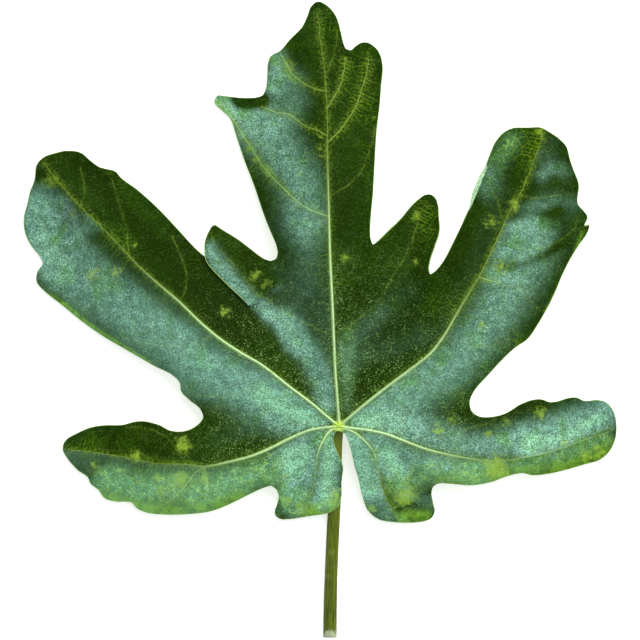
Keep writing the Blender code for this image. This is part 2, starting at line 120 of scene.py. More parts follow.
# The main ribs clockwise, each from the junction to the tip of its lobe
MAIN_RIBS = {
    "left_basal": Rib(0.0015, 0.0050, 0.3, [
        JUNCTION, (330, 430.5), (325, 437), (321, 444), (318, 452), (316, 467), (315, 480), (307, 508)]),
    "left_lower": Rib(0.0045, 0.0018, 0.4, [
        JUNCTION, (325, 427.5), (310, 430), (290, 438), (270, 448), (250, 456), (230, 461), (205, 466),
        (190, 464.5), (170, 463.5), (155, 463), (135, 458.5), (115, 455.5), (95, 452.5), (68, 450)]),
    "left_upper": Rib(0.0055, 0.0018, 0.5, [
        JUNCTION, (330, 419), (310, 402), (290, 387), (262, 365), (240, 352), (220, 338.5), (200, 321.5),
        (180, 302), (160, 285), (140, 267), (120, 246), (100, 225), (80, 206), (60, 184), (44, 163)]),
    "middle": Rib(0.0055, 0.0018, 0.5, [
        JUNCTION, (337, 398), (335, 370), (333.5, 335), (332, 300), (330, 258), (329, 220),
        (328.2, 190), (327.5, 160), (327.3, 130), (326.8, 105), (325.5, 84), (324, 65), (321.5, 47),
        (320, 38), (319.5, 26), (317, 12)]),
    "right_upper": Rib(0.0055, 0.0018, 0.38, [
        JUNCTION, (360, 408), (385, 388), (407, 371.5), (430, 353), (443, 336), (457, 312), (470, 290),
        (482, 270), (492, 249), (500, 232), (510, 210), (520, 194), (528, 177), (534, 160), (543, 138)]),
    "right_lower": Rib(0.0045, 0.0018, 0.35, [
        JUNCTION, (352, 428), (365, 429.5), (385, 433.5), (405, 441), (425, 448.5), (445, 453.5),
        (465, 457.5), (490, 460.5), (510, 459.3), (525, 457), (545, 453), (565, 447), (585, 440),
        (610, 432)]),
    "right_basal": Rib(0.0015, 0.0032, 0.3, [
        JUNCTION, (350, 430), (356, 433), (366, 442), (373, 451), (376, 463), (380, 480), (385, 495),
        (392, 510)]),
}

# Side veins that show clearly, each from the rib that it leaves to near the margin
CLEAR_VEINS = [
    [(328.8, 217), (310, 210), (300, 204), (285, 190), (266, 170), (250, 146), (238, 127), (226, 109),
     (218, 100)],
    [(327, 136), (318, 131), (305, 126), (298, 121), (288, 114), (276, 112), (264, 107)],
    [(325.8, 91.5), (318, 90), (305, 84), (298, 79), (291, 72), (286, 62), (281, 55)],
    [(327.5, 143), (335, 136), (345, 124), (355, 108), (359, 98), (362, 88), (366, 76), (369, 58)],
    [(327, 109), (334, 97), (341, 84), (344, 70), (345.5, 58)],
    [(478, 277), (490, 281), (500, 283)],
    [(205, 467), (207, 476), (208, 487), (206, 498)],
    [(205, 466), (195, 473), (189, 481), (178, 494), (166, 503), (152, 509)],
]

# Fainter side veins
SIDE_VEINS = [
    [(328.5, 199), (335, 194), (350, 184), (361, 172), (367, 157), (373, 140), (375, 125)],
    [(325.2, 78), (329, 68), (335, 50), (337, 42), (337, 30)],
    [(333.7, 338), (316, 328), (297, 319), (283, 311), (268, 299), (255, 285), (243, 270), (230, 255),
     (218, 243), (212, 232)],
    [(333.6, 335), (352, 324), (368, 311), (378, 301), (388, 285), (396, 270), (402, 262), (408, 250),
     (413, 238), (420, 215), (427, 201)],
    [(216, 335.5), (200, 340), (190, 344), (177, 346.5), (158, 345), (143, 342.5), (120, 336)],
    [(276, 376.5), (262, 383), (250, 388), (240, 393), (225, 397), (210, 396), (192, 395)],
    [(130, 257), (124, 268), (117, 279), (106, 290), (92, 302), (78, 312)],
    [(180, 302), (186, 290), (187, 275), (182, 258), (172, 236)],
    [(130, 256.5), (128, 243), (127, 230), (123, 216), (118, 200), (112, 180)],
    [(90, 215.5), (84, 226), (76, 238), (64, 250), (50, 262)],
    [(80, 206), (84, 196), (84, 184), (80, 168)],
    [(188, 464.3), (180, 455), (172, 442), (165, 436), (155, 431), (140, 427), (126, 427)],
    [(277, 445), (277.5, 455), (278, 465), (279, 478), (280, 490)],
    [(500, 283), (513, 287), (521, 292), (530, 301), (540, 310)],
    [(496, 241), (510, 246), (525, 250), (540, 248), (553, 245), (566, 236), (576, 228)],
    [(442, 337), (452, 339), (463, 342), (475, 345), (490, 345.5), (503, 340), (512, 338)],
    [(407, 371.5), (415, 375), (426, 383), (436, 389), (450, 394), (464, 393)],
    [(520, 195), (532, 198), (545, 197), (560, 195), (574, 194)],
    [(503, 226), (500, 212), (497, 200), (492, 190), (489, 176)],
    [(437, 451.5), (446, 441), (460, 431), (475, 426), (492, 423)],
    [(475, 459.5), (484, 463), (500, 464), (515, 467), (526, 470)],
]

# Smaller veins that show one by one, from the vein that they leave
TWIGS = [
    [(321.3, 46), (316, 44), (311, 41), (306, 36)],
    [(320, 40), (323, 32), (326, 22)],
    [(344, 125), (350, 111), (354, 104)],
    [(346, 122), (340, 110), (338, 98)],
    [(240, 458.5), (235, 472), (232, 480), (227, 492)],
    [(265, 450), (263, 460), (258, 474)],
    [(140, 460), (133, 455), (128, 450), (120, 438), (107, 431), (92, 432)],
    [(152, 463), (145, 474), (132, 486), (118, 494)],
    [(510, 459.3), (525, 467), (536, 470)],
    [(545, 453), (553, 461), (560, 466)],
    [(545, 453), (555, 437), (562, 420), (566, 408)],
    [(510, 459.3), (520, 445), (528, 428), (531, 412)],
    [(381, 484), (391, 494), (400, 503), (406, 512)],
    [(376, 463), (388, 466), (402, 468), (416, 472)],
    [(316, 465), (304, 472), (296, 484), (293, 500)],
    [(395, 288), (405, 290), (412, 292), (420, 289)],
    [(457, 312), (448, 300), (442, 288), (440, 276)],
    [(385, 388), (394, 396), (404, 408), (408, 420)],
    [(430, 353), (424, 338), (420, 322), (421, 308)],
    [(332, 300), (320, 288), (305, 276), (292, 270)],
    [(331, 290), (345, 278), (356, 264), (362, 250)],
    [(240, 352), (244, 338), (240, 325), (232, 314)],
    [(160, 285), (148, 297), (134, 308), (120, 318)],
    [(200, 321.5), (202, 306), (200, 290), (196, 274)],
    [(60, 184), (54, 196), (46, 206), (36, 214)],
    [(534, 160), (545, 160), (558, 160), (566, 158)],
    [(528, 177), (520, 164), (512, 154), (504, 146)],
    [(100, 225), (104, 212), (104, 198), (100, 182)],
]

# Widths of the veins seen from above, half of the width at their start and at their tip
RIB_HALF_WIDTHS = (0.00042, 0.00012)
BASAL_HALF_WIDTHS = (0.00024, 0.00008)
CLEAR_HALF_WIDTHS = (0.00022, 0.00010)
SIDE_HALF_WIDTHS = (0.00018, 0.00010)
TWIG_HALF_WIDTHS = (0.00014, 0.00007)
NET_HALF_WIDTH = 0.00008

# Spacing of the points on lines, and of the loose points that fill the sheet between them
MARGIN_STEP = 0.0005
COARSE_STEP = 0.0021
VEIN_STEP = 0.0006
RIB_STEP = 0.003
MARK_STEP = 0.002
STALK_STEP = 0.0006
FILL_STEP = 0.00105
FILL_CLEARANCE = 0.00048

# Rows of points beside the ribs, in half widths of the rib, and the point of the rib where they start
BESIDE_RIB = (-2.2, -1.1, -0.6, 0.6, 1.1, 2.2)
BESIDE_START = 4

# A point this near to a vein lies on it, and a gap's middle this far from the veins gets a point of its own
ON_VEIN = 0.05 * MM
OFF_VEIN = 0.14 * MM

# Blender's number for keeping only what lies inside the margin, and how near two points count as one
INSIDE_ONLY = 1
SAME_PLACE = 2e-5
MICRONS_PER_METRE = 1e6

# Limits for lengths that are divided by and for ratios, and how many pieces of vein are tried as the nearest
SHORTEST = 1e-6
FARTHEST = 40.0
NEIGHBOURS = 3

# The arch of the blade, in metres above the surface that it lies on
JUNCTION_HEIGHT = 0.0095
DROOP = 0.0046
DROOP_REACH = 0.020
RIB_FALL_POWER = 1.5
RIB_BLEND = 0.0016
RIB_PULL = 3
LOWEST_FREE = 0.0006
LOWEST_BLEND = 0.002
CAD_LAMINA = 0.0007

# Relief between the main veins and along the margin
RIB_QUILT = 0.0001
SIDE_QUILT = 0.00015
QUILT_REACH = 0.0035
WAVE = 0.0006
WAVE_REACH = 0.007
WAVE_LENGTH = 0.024
WAVE_DIRECTIONS = [(1.0, 0.4, 0.0), (-0.5, 1.1, 1.3)]

# The flat spots that the blade stands on, and the lap of the small left lobe
FEET = [(319, 10), (33, 222), (578, 236), (607, 429)]
FOOT_FLAT = 0.0032
FOOT_REACH = 0.0130
LAP_HEIGHT = 0.0018
LAP_REACH = 0.013
LAP_START = 12
LAP_SLIDE = np.array([-0.0013, -0.0012])

# The blade's rise over the stalk
STALK_DIAMETER = 0.0042
STALK_COVER = 0.0005
COVER_SLOPE = 0.22
COVER_BLEND = 0.0003
STALK_COVER_EVERY = 6
STALK_ROUTE = [
    (338, 423, 0.0051), (336.2, 434, 0.00485), (335.4, 450, 0.0041), (335.2, 475, 0.0028),
    (334.4, 505, 0.0018), (332.4, 545, 0.00175), (330.6, 595, 0.00175), (330, 637.8, 0.00175)]
STALK_GROWTH = [1.06, 1.02, 0.98, 0.97, 0.97, 0.98, 1.02, 1.04]
STALK_SIDES = 40
STALK_FLUTES = ((0.018, 7, 2.0), (0.012, 12, -3.0))
STREAK_SCALE = (2.2, 0.12, 2.2)


class Ridge(NamedTuple):
    """A vein's ridge on the underside where it is thickest, and half of that vein's width seen from above."""
    depth: float
    reach: float
    half_width: float


# Thickness of the blade and of its veins underneath, and the least share of it that a thin vein keeps
LAMINA = 0.00045
RIDGES = {
    "rib": Ridge(0.0019, 0.0013, RIB_HALF_WIDTHS[0]),
    "side": Ridge(0.0007, 0.0008, SIDE_HALF_WIDTHS[0]),
    "twig": Ridge(0.00025, 0.0005, TWIG_HALF_WIDTHS[0]),
    "net": Ridge(0.0001, 0.0005, NET_HALF_WIDTH),
}
RIDGE_LEAST = 0.25
RIM_ANGLE = 55

# Relief of the veins on the upper face: heights in metres, and places in half widths of the vein
CREST_END = 1.2
GROOVE_PLACE = 2.2
GROOVE_REACH = 1.2
# Painted shade beside the ribs is darkest at this many half widths of the rib
GROOVE_PAINTED_SHADE = 2.1
RIB_CREST = 0.00034
RIB_GROOVE = 0.00005
SIDE_CREST = 0.00006
SIDE_GROOVE = 0.00003
NET_QUILT = 0.00012
NET_QUILT_REACH = 0.0009


class Fold(NamedTuple):
    """A crease or a low ridge across the blade: height and half width in mm, and its way on the page."""
    height: float
    half_width: float
    route: list


class Streak(NamedTuple):
    """A soft streak of colour: half of its width in squares, its strength, and its way on the page."""
    reach: float
    strength: float
    route: list


# Folds of this one leaf
FOLD_TAPER = 0.25
FOLDS = [
    Fold(0.45, 2.2, [(556, 186), (545, 182), (534, 178)]),
    Fold(-0.40, 2.0, [(562, 205), (548, 203), (536, 205)]),
    Fold(0.45, 2.2, [(566, 219), (552, 216), (540, 216)]),
    Fold(0.60, 2.4, [(571, 222), (548, 226), (520, 234), (496, 243)]),
    Fold(0.40, 2.0, [(527, 298), (505, 290), (480, 280)]),
    Fold(0.25, 1.2, [(465, 342), (478, 347), (490, 349)]),
    Fold(0.12, 1.5, [(395, 288), (407, 291), (420, 289)]),
    Fold(-0.25, 0.9, [(297, 319), (305, 324), (312, 328)]),
    Fold(3.2, 9, [(440, 400), (470, 408), (500, 410), (545, 396), (580, 396), (625, 402), (650, 410)]),
    Fold(-1.3, 5, [(190, 440), (225, 441), (260, 436), (290, 430), (325, 427)]),
    Fold(2.6, 5.5, [(5, 186), (34, 191), (60, 199), (84, 210), (110, 224)]),
    Fold(0.5, 0.8, [(40, 286), (48, 295), (62, 303), (75, 312), (83, 320), (92, 328), (100, 332)]),
    Fold(0.8, 2.2, [(230, 105), (238, 108), (248, 109), (262, 107), (275, 104)]),
]

# Yellowish blotches: middle and reach on the page, and strength
BLOTCHES = [
    (93, 275, 8, 0.8), (117, 272, 6, 0.8), (50, 182, 8, 0.6), (72, 213, 5, 0.6), (135, 246, 4, 0.6),
    (258, 160, 6, 0.6), (248, 148, 5, 0.6), (268, 172, 5, 0.6), (300, 172, 5, 0.6), (321, 138, 8, 0.3),
    (322, 153, 9, 0.35), (290, 65, 6, 0.7), (257, 273, 5, 0.9), (268, 283, 5, 0.8),
    (225, 312, 6, 0.9), (415, 215, 5, 0.7), (415, 262, 5, 0.6), (345, 258, 6, 0.7), (490, 222, 7, 0.7),
    (515, 205, 7, 0.7), (540, 133, 6, 0.7), (500, 268, 7, 0.8), (480, 325, 4, 0.7), (183, 445, 9, 0.9),
    (94, 466, 7, 0.7), (135, 455, 7, 0.8), (157, 478, 5, 0.8), (180, 480, 10, 1.0), (163, 490, 7, 0.8),
    (205, 478, 6, 0.9), (335, 497, 9, 0.9), (303, 508, 7, 0.8), (287, 500, 6, 0.7), (408, 492, 11, 1.0),
    (403, 500, 7, 0.8), (372, 508, 5, 0.8), (495, 468, 12, 1.2), (438, 430, 7, 0.8), (452, 418, 6, 0.7),
    (487, 433, 4, 0.8), (505, 422, 5, 0.8), (540, 413, 7, 0.8), (585, 455, 6, 0.8), (600, 452, 7, 0.7),
    (565, 443, 5, 0.7)]

# Where the green is brighter and yellower, or below 0 painted shade: darker where the blade lies in shade or
# faces away from the light
TONES_AND_PAINTED_SHADE = [
    Streak(24, 0.45, [(352, 65), (366, 85), (368, 110)]),
    Streak(12, 0.5, [(500, 470), (560, 462), (600, 450)]),
    Streak(12, 0.2, [(322, 10), (328, 24)]),
    Streak(18, 0.8, [(500, 145), (540, 140)]),
    Streak(24, 0.75, [(110, 490), (160, 488), (210, 490), (260, 480)]),
    Streak(16, 0.6, [(385, 500), (420, 480), (470, 478)]),
    Streak(16, 0.5, [(290, 505), (300, 505)]),
    Streak(24, 0.2, [(410, 250), (425, 225)]),
    Streak(24, -0.3, [(345, 190), (345, 230)]),
    Streak(27, -0.65, [(62, 166), (110, 200), (160, 236), (200, 275), (235, 320)]),
    Streak(10, 0.5, [(120, 188), (140, 208), (165, 234)]),
    Streak(20, 0.3, [(100, 440), (150, 440)]),
    Streak(16, -0.3, [(40, 170), (56, 186)]),
    Streak(12, 0.4, [(60, 162), (86, 192), (112, 220), (130, 240)]),
    Streak(14, 0.3, [(425, 205), (432, 235)]),
    Streak(7, 0.4, [(490, 135), (530, 131), (556, 142)]),
    Streak(22, -0.3, [(470, 235), (455, 265)]),
    Streak(12, -0.3, [(352, 392), (375, 373), (403, 357)]),
    Streak(12, -0.3, [(376, 339), (405, 318), (420, 295)]),
    Streak(12, -0.5, [(480, 412), (500, 414), (525, 408)]),
    Streak(6, -0.2, [(238, 100), (250, 101), (262, 100)]),
    Streak(5, -0.8, [(229, 112), (236, 135), (245, 160)]),
    Streak(3, -1.0, [(33, 186), (33, 190)]),
    Streak(3, -1.0, [(26, 210), (26, 214)]),
    Streak(3, -1.0, [(26, 226), (26, 230)]),
    Streak(4, -1.0, [(40, 274), (44, 277)]),
    Streak(7, -0.2, [(584, 228), (572, 258), (558, 286)])]

# Where the green is fresh and light, most of all along lower margins
FRESH = [
    Streak(8, 0.9, [(105, 496), (136, 506), (165, 511), (192, 510), (215, 506), (240, 496)]),
    Streak(8, 0.9, [(284, 514), (308, 511), (332, 505)]),
    Streak(8, 0.9, [(370, 508), (382, 515), (400, 518), (425, 516)]),
    Streak(9, 0.65, [(440, 480), (470, 481), (500, 473), (532, 471), (565, 466), (592, 459), (610, 444)]),
    Streak(2.6, 0.9, [(48, 295), (62, 303), (83, 320), (100, 332), (150, 363)]),
    Streak(4, 0.45, [(228, 112), (250, 146), (270, 172), (290, 194)]),
    Streak(7, 0.6, [(211, 101), (220, 106)]),
    Streak(14, 0.3, [(346, 402), (349, 370), (346, 335)]),
    Streak(4, 0.35, [(198, 462), (170, 461), (140, 456)]),
    Streak(5, 0.5, [(272, 60), (284, 70), (294, 80)]),
    Streak(2.6, 0.6, [(583, 232), (574, 256), (561, 284), (545, 312)])]

# Where a painted sheen lies on the green: a bluish colour that stands in for the window's reflection in the
# blade's gloss, or below 0 less of it
PAINTED_SHEEN = [
    Streak(7, 0.9, [(217, 100), (226, 111), (234, 114)]),
    Streak(7, 0.8, [(211, 101), (226, 102)]),
    Streak(11, 0.7, [(276, 56), (276, 70), (272, 88)]),
    Streak(18, 0.4, [(292, 80), (294, 108), (262, 118)]),
    Streak(27, 0.68, [(252, 126), (278, 150), (300, 185), (306, 215)]),
    Streak(20, 0.28, [(306, 235), (306, 260), (304, 290)]),
    Streak(14, 0.75, [(290, 325), (308, 350), (322, 380), (328, 405)]),
    Streak(9, 0.7, [(213, 247), (226, 265), (240, 282), (256, 299), (268, 313)]),
    Streak(11, 0.5, [(278, 316), (288, 330), (294, 345)]),
    Streak(7, -0.9, [(240, 99), (250, 101), (262, 100)]),
    Streak(24, 0.7, [(42, 218), (50, 258), (85, 290), (125, 318), (165, 345), (205, 374), (250, 396),
                     (305, 418)]),
    Streak(18, 0.4, [(38, 206), (46, 245), (62, 266)]),
    Streak(11, 0.35, [(62, 204), (79, 227)]),
    Streak(14, 0.15, [(216, 440), (262, 428), (290, 425)]),
    Streak(14, 0.4, [(75, 240), (105, 268), (140, 300), (175, 328)]),
    Streak(16, 0.3, [(190, 340), (225, 366), (255, 384)]),
    Streak(14, -0.9, [(66, 440), (80, 452), (90, 462)]),
    Streak(14, 0.8, [(262, 392), (290, 408), (312, 418)]),
    Streak(18, 0.8, [(100, 474), (130, 486), (170, 488), (210, 490), (250, 478), (290, 462), (322, 440)]),
    Streak(18, 0.9, [(296, 458), (298, 480), (296, 500)]),
    Streak(11, 1.4, [(328, 440), (328, 470), (324, 500)]),
    Streak(11, 1.2, [(352, 438), (362, 456), (370, 488)]),
    Streak(18, 0.9, [(372, 442), (400, 466), (432, 470), (465, 474)]),
    Streak(16, 0.5, [(392, 458), (402, 490)]),
    Streak(13, 0.45, [(372, 490), (388, 508)]),
    Streak(14, 0.6, [(490, 467), (520, 465), (560, 455), (602, 438)]),
    Streak(18, 0.7, [(366, 424), (400, 426), (440, 438), (480, 446), (520, 440)]),
    Streak(18, 0.85, [(535, 440), (560, 428), (604, 414)]),
    Streak(9, 0.6, [(530, 448), (562, 441), (596, 422)]),
    Streak(28, 0.72, [(362, 418), (400, 396), (440, 372), (475, 340), (500, 305), (520, 272), (534, 240)]),
    Streak(20, 0.14, [(440, 330), (470, 280), (500, 200)]),
    Streak(12, 0.3, [(492, 272), (502, 250), (512, 226)]),
    Streak(12, 0.3, [(530, 214), (544, 203), (558, 199), (574, 204)]),
    Streak(5, -0.25, [(512, 218), (532, 213), (548, 214), (560, 211)]),
    Streak(5, -0.35, [(500, 266), (522, 264), (545, 254), (566, 240)]),
    Streak(9, 0.4, [(542, 176), (554, 167), (566, 172)]),
    Streak(16, 0.25, [(520, 152), (545, 150)]),
    Streak(14, 0.45, [(486, 185), (494, 166), (512, 140)]),
    Streak(18, 0.16, [(347, 337), (362, 327), (378, 316), (394, 302), (408, 290)]),
    Streak(10, 0.14, [(348, 336), (364, 327), (380, 314)]),
    Streak(17, 0.2, [(345, 364), (364, 356), (390, 350), (414, 338)]),
    Streak(16, 0.1, [(350, 250), (354, 275)]),
    Streak(10, 0.3, [(345, 352), (346, 380), (346, 408)])]

# How the net of small veins grows: lengths in metres, angles in radians, and the fewest steps of a vein
NET_SEED = 11
NET_GENERATIONS = 3
NET_SHORTEST = 3
MARGIN_OWNER = -1
NET_SPACING = 0.0024
NET_LENGTH = 0.011
NET_SEED_ROOM = 0.0013
NET_MEET = 0.0006
NET_LEAN = 0.35
NET_WANDER = 0.16

# Where the comb beside the larger veins ends, and the share of a rib over which it turns green
COMB_END = 0.006
RIB_FADE = 0.5

# The middles of the narrow strips of margin that are turned over
TURNED_EDGES = [
    [(467, 208), (473, 195), (477.5, 184), (481.5, 174), (485, 166)],
    [(384, 92), (383.3, 108), (381.5, 124)]]


def on_page(place):
    """A place on the page, as a point in metres."""
    return np.array([(place[0] - PAGE_CENTRE[0]) * SQUARE, (PAGE_CENTRE[1] - place[1]) * SQUARE])


def smooth_line(points, step, closed=False):
    """Points about a step apart on a smooth line that passes through all the given points."""
    points = [np.asarray(point, float) for point in points]
    count = len(points)
    if closed:
        ring = [points[-1]] + points + points[:2]
    else:
        ring = [2 * points[0] - points[1]] + points + [2 * points[-1] - points[-2]]
    line = []
    for i in range(count if closed else count - 1):
        before, start, end, after = ring[i:i + 4]
        knots = [0.0]
        for a, b in ((before, start), (start, end), (end, after)):
            knots.append(knots[-1] + math.sqrt(np.linalg.norm(b - a)))
        pieces = max(1, round(np.linalg.norm(end[:2] - start[:2]) / step))
        for j in range(pieces):
            t = knots[1] + (knots[2] - knots[1]) * j / pieces
            line.append(between_knots(before, start, end, after, knots, t))
    if not closed:
        line.append(points[-1])
    return np.array(line)


def page_line(places, step, closed=False):
    """A smooth line through places on the page, in metres."""
    return smooth_line([on_page(place) for place in places], step, closed)


def between_knots(before, start, end, after, knots, t):
    """The point at t of the centripetal Catmull-Rom span between start and end."""
    k0, k1, k2, k3 = knots
    a1 = (k1 - t) / (k1 - k0) * before + (t - k0) / (k1 - k0) * start
    a2 = (k2 - t) / (k2 - k1) * start + (t - k1) / (k2 - k1) * end
    a3 = (k3 - t) / (k3 - k2) * end + (t - k2) / (k3 - k2) * after
    b1 = (k2 - t) / (k2 - k0) * a1 + (t - k0) / (k2 - k0) * a2
    b2 = (k3 - t) / (k3 - k1) * a2 + (t - k1) / (k3 - k1) * a3
    return (k2 - t) / (k2 - k1) * b1 + (t - k1) / (k2 - k1) * b2


def along_line(points, line):
    """Each point's distance to a line, and how far along the line its nearest place is, from 0 to 1."""
    best = np.full(len(points), np.inf)
    place = np.zeros(len(points))
    lengths = np.linalg.norm(np.diff(line, axis=0), axis=1)
    run = np.concatenate([[0.0], np.cumsum(lengths)])
    for i, length in enumerate(lengths):
        direction = (line[i + 1] - line[i]) / length
        reach = np.clip((points - line[i]) @ direction, 0.0, length)
        distance = np.linalg.norm(points - line[i] - reach[:, None] * direction, axis=1)
        nearer = distance < best
        best = np.where(nearer, distance, best)
        place = np.where(nearer, run[i] + reach, place)
    return best, place / run[-1]


def unit_tangents(line):
    """The direction of a line at each of its points."""
    tangents = np.gradient(line, axis=0)
    return tangents / np.linalg.norm(tangents, axis=1)[:, None]


def smooth_step(value):
    """0 below 0, 1 above 1, and a smooth change between."""
    t = np.clip(value, 0.0, 1.0)
    return t * t * (3 - 2 * t)


def smooth_max(a, b, blend):
    """The larger of a and b, rounded where they are less than blend apart."""
    h = np.clip(0.5 + 0.5 * (a - b) / blend, 0.0, 1.0)
    return b + (a - b) * h + blend * h * (1 - h)


class Strand(NamedTuple):
    """One vein: its points, and half of its width at each of them."""
    line: np.ndarray
    half_widths: np.ndarray


def strand(places, widths):
    """A vein through places on the page that narrows from one half width to another."""
    line = page_line(places, VEIN_STEP)
    return Strand(line, np.linspace(widths[0], widths[1], len(line)))


class Near(NamedTuple):
    """What is known of the nearest vein at each of many points: run is how far along it the point is."""
    distance: np.ndarray
    half_width: np.ndarray
    run: np.ndarray
    vein: np.ndarray


class Field:
    """Tells how far points are from the nearest of many veins."""

    def __init__(self, strands):
        lengths = [np.linalg.norm(np.diff(one.line, axis=0), axis=1) for one in strands]
        self.starts = np.vstack([one.line[:-1] for one in strands])
        self.ends = np.vstack([one.line[1:] for one in strands])
        self.widths = np.concatenate([(one.half_widths[:-1] + one.half_widths[1:]) / 2 for one in strands])
        self.runs = np.concatenate([np.cumsum(length) - length for length in lengths])
        self.veins = np.repeat(np.arange(len(strands)), [len(length) for length in lengths])
        self.tree = kdtree.KDTree(len(self.starts))
        for i, middle in enumerate((self.starts + self.ends) / 2):
            self.tree.insert((*middle, 0.0), i)
        self.tree.balance()

    def measure(self, points):
        """What is known of the nearest vein at each point."""
        found = [self.tree.find_n((x, y, 0.0), NEIGHBOURS) for x, y in points]
        nearest = np.array([[number for _, number, _ in hits] for hits in found])
        start = self.starts[nearest]
        span = self.ends[nearest] - start
        length = np.maximum(np.linalg.norm(span, axis=2), SHORTEST)
        reach = np.clip(((points[:, None] - start) * span).sum(axis=2) / length, 0, length)
        away = np.linalg.norm(points[:, None] - start - (reach / length)[..., None] * span, axis=2)
        best = (np.arange(len(points)), away.argmin(axis=1))
        nearest = nearest[best]
        return Near(away[best], self.widths[nearest], self.runs[nearest] + reach[best], self.veins[nearest])


class Hedge:
    """Places already taken by veins, in a grid, so that a growing vein can tell what is near."""

    def __init__(self, cell):
        self.cell = cell
        self.cells = {}

    def add(self, place, owner):
        """Marks a place as taken by a vein."""
        key = (int(place[0] // self.cell), int(place[1] // self.cell))
        self.cells.setdefault(key, []).append((place[0], place[1], owner))

    def nearest(self, place, owners_left_out):
        """The distance to the nearest taken place within a cell's size, and that place."""
        column = int(place[0] // self.cell)
        row = int(place[1] // self.cell)
        best = (math.inf, None)
        for i in (column - 1, column, column + 1):
            for j in (row - 1, row, row + 1):
                for x, y, owner in self.cells.get((i, j), ()):
                    if owner not in owners_left_out:
                        away = math.hypot(x - place[0], y - place[1])
                        if away < best[0]:
                            best = (away, (x, y))
        return best


def toward(heading):
    """The unit vector of a heading."""
    return np.array([math.cos(heading), math.sin(heading)])


def net_seeds(parents, rng):
    """Where small veins leave larger ones, with their owner and heading, in a random order."""
    gap = round(NET_SPACING / VEIN_STEP)
    seeds = []
    for owner, one in parents:
        last = len(one.line) - 2
        for i in range(1 + rng.randint(gap), last + 1, gap):
            along = one.line[i + 1] - one.line[i - 1]
            for side in (1, -1):
                heading = math.atan2(along[1], along[0]) + side * (math.pi / 2 - NET_LEAN)
                seeds.append((owner, one.line[min(i + rng.randint(2), last)], heading))
    rng.shuffle(seeds)
    return seeds


def grow_vein(start, heading, owner, number, hedge, rng):
    """The points of one small vein, which ends where it meets another one or at its full length."""
    line = [start]
    met = False
    while len(line) * VEIN_STEP < NET_LENGTH and not met:
        heading += rng.normal(0, NET_WANDER)
        place = line[-1] + VEIN_STEP * toward(heading)
        left_out = (owner, number) if len(line) < NET_SHORTEST else (number,)
        away, other = hedge.nearest(place, left_out)
        met = away < NET_MEET
        line.append(np.array(other) if met else place)
    return line


def grow_net(strands, margin, rng):
    """Small veins that leave the larger ones sideways and run until they meet another vein."""
    hedge = Hedge(NET_SEED_ROOM)
    for place in margin:
        hedge.add(place, MARGIN_OWNER)
    for owner, one in enumerate(strands):
        for place in one.line:
            hedge.add(place, owner)
    net = []
    parents = list(enumerate(strands))
    for _ in range(NET_GENERATIONS):
        seeds = net_seeds(parents, rng)
        parents = []
        for owner, start, heading in seeds:
            if hedge.nearest(start + NET_SEED_ROOM * toward(heading), (owner,))[0] < NET_SEED_ROOM:
                continue
            number = len(strands) + len(net)
            line = grow_vein(start, heading, owner, number, hedge, rng)
            if len(line) > NET_SHORTEST:
                small = Strand(np.array(line), np.full(len(line), NET_HALF_WIDTH))
                net.append(small)
                parents.append((number, small))
                for place in line[1:]:
                    hedge.add(place, number)
    return net


class Leaf:
    """The lines of the leaf in metres, seen from above."""

    def __init__(self):
        self.margin = page_line(MARGIN, MARGIN_STEP, closed=True)
        self.coarse_margin = page_line(MARGIN, COARSE_STEP, closed=True)
        self.ribs = [page_line(rib.route, RIB_STEP) for rib in MAIN_RIBS.values()]
        self.slit_sides = page_line(SLIT_OUTER_SIDE, COARSE_STEP), page_line(SLIT_INNER_SIDE, COARSE_STEP)
        self.feet = [on_page(place) for place in FEET]
        self.stalk = smooth_line([(*on_page(place[:2]), place[2]) for place in STALK_ROUTE], STALK_STEP)
        self.rib_strands = [strand(rib.route, BASAL_HALF_WIDTHS if "basal" in name else RIB_HALF_WIDTHS)
                            for name, rib in MAIN_RIBS.items()]
        self.side_strands = [strand(route, CLEAR_HALF_WIDTHS) for route in CLEAR_VEINS]
        self.side_strands += [strand(route, SIDE_HALF_WIDTHS) for route in SIDE_VEINS]
        self.twig_strands = [strand(route, TWIG_HALF_WIDTHS) for route in TWIGS]
        larger = self.rib_strands + self.side_strands + self.twig_strands
        self.net_strands = grow_net(larger, self.margin, np.random.RandomState(NET_SEED))
        self.all_strands = larger + self.net_strands

    def to_margin(self, points):
        """Each point's distance to the margin."""
        return along_line(points, np.vstack([self.coarse_margin, self.coarse_margin[:1]]))[0]


def stalk_cover(points, leaf):
    """The height that the blade's upper face needs, to pass over the stalk."""
    route = leaf.stalk[::STALK_COVER_EVERY]
    distance, along = along_line(points, route[:, :2])
    centre = np.interp(along * (len(route) - 1), range(len(route)), route[:, 2])
    top = centre + STALK_DIAMETER / 2 + STALK_COVER + CAD_LAMINA
    return top - COVER_SLOPE * np.maximum(0.0, distance - STALK_DIAMETER / 2)


def arch(points, leaf):
    """Height of the smooth arch above the surface: each rib is a ridge that the blade droops from."""
    total = np.zeros(len(points))
    weights = np.zeros(len(points))
    for line, rib in zip(leaf.ribs, MAIN_RIBS.values()):
        distance, along = along_line(points, line)
        fall = (JUNCTION_HEIGHT - rib.tip) * along ** RIB_FALL_POWER
        ridge = JUNCTION_HEIGHT + rib.crown * np.sin(math.pi * along) ** 2 - fall
        weight = 1.0 / (distance + RIB_BLEND) ** RIB_PULL
        total += weight * (ridge - DROOP * (distance / DROOP_REACH))
        weights += weight
    return total / weights


def lap(points, leaf):
    """Where the small left lobe lies over its neighbour: 1 at its edge on the slit, less away from it."""
    outer_gap = along_line(points, leaf.slit_sides[0])[0]
    inner_gap, along = along_line(points, leaf.slit_sides[1])
    share = smooth_step(LAP_START * along) * smooth_step(1 - inner_gap / LAP_REACH)
    return np.where(inner_gap < outer_gap, share, 0.0)


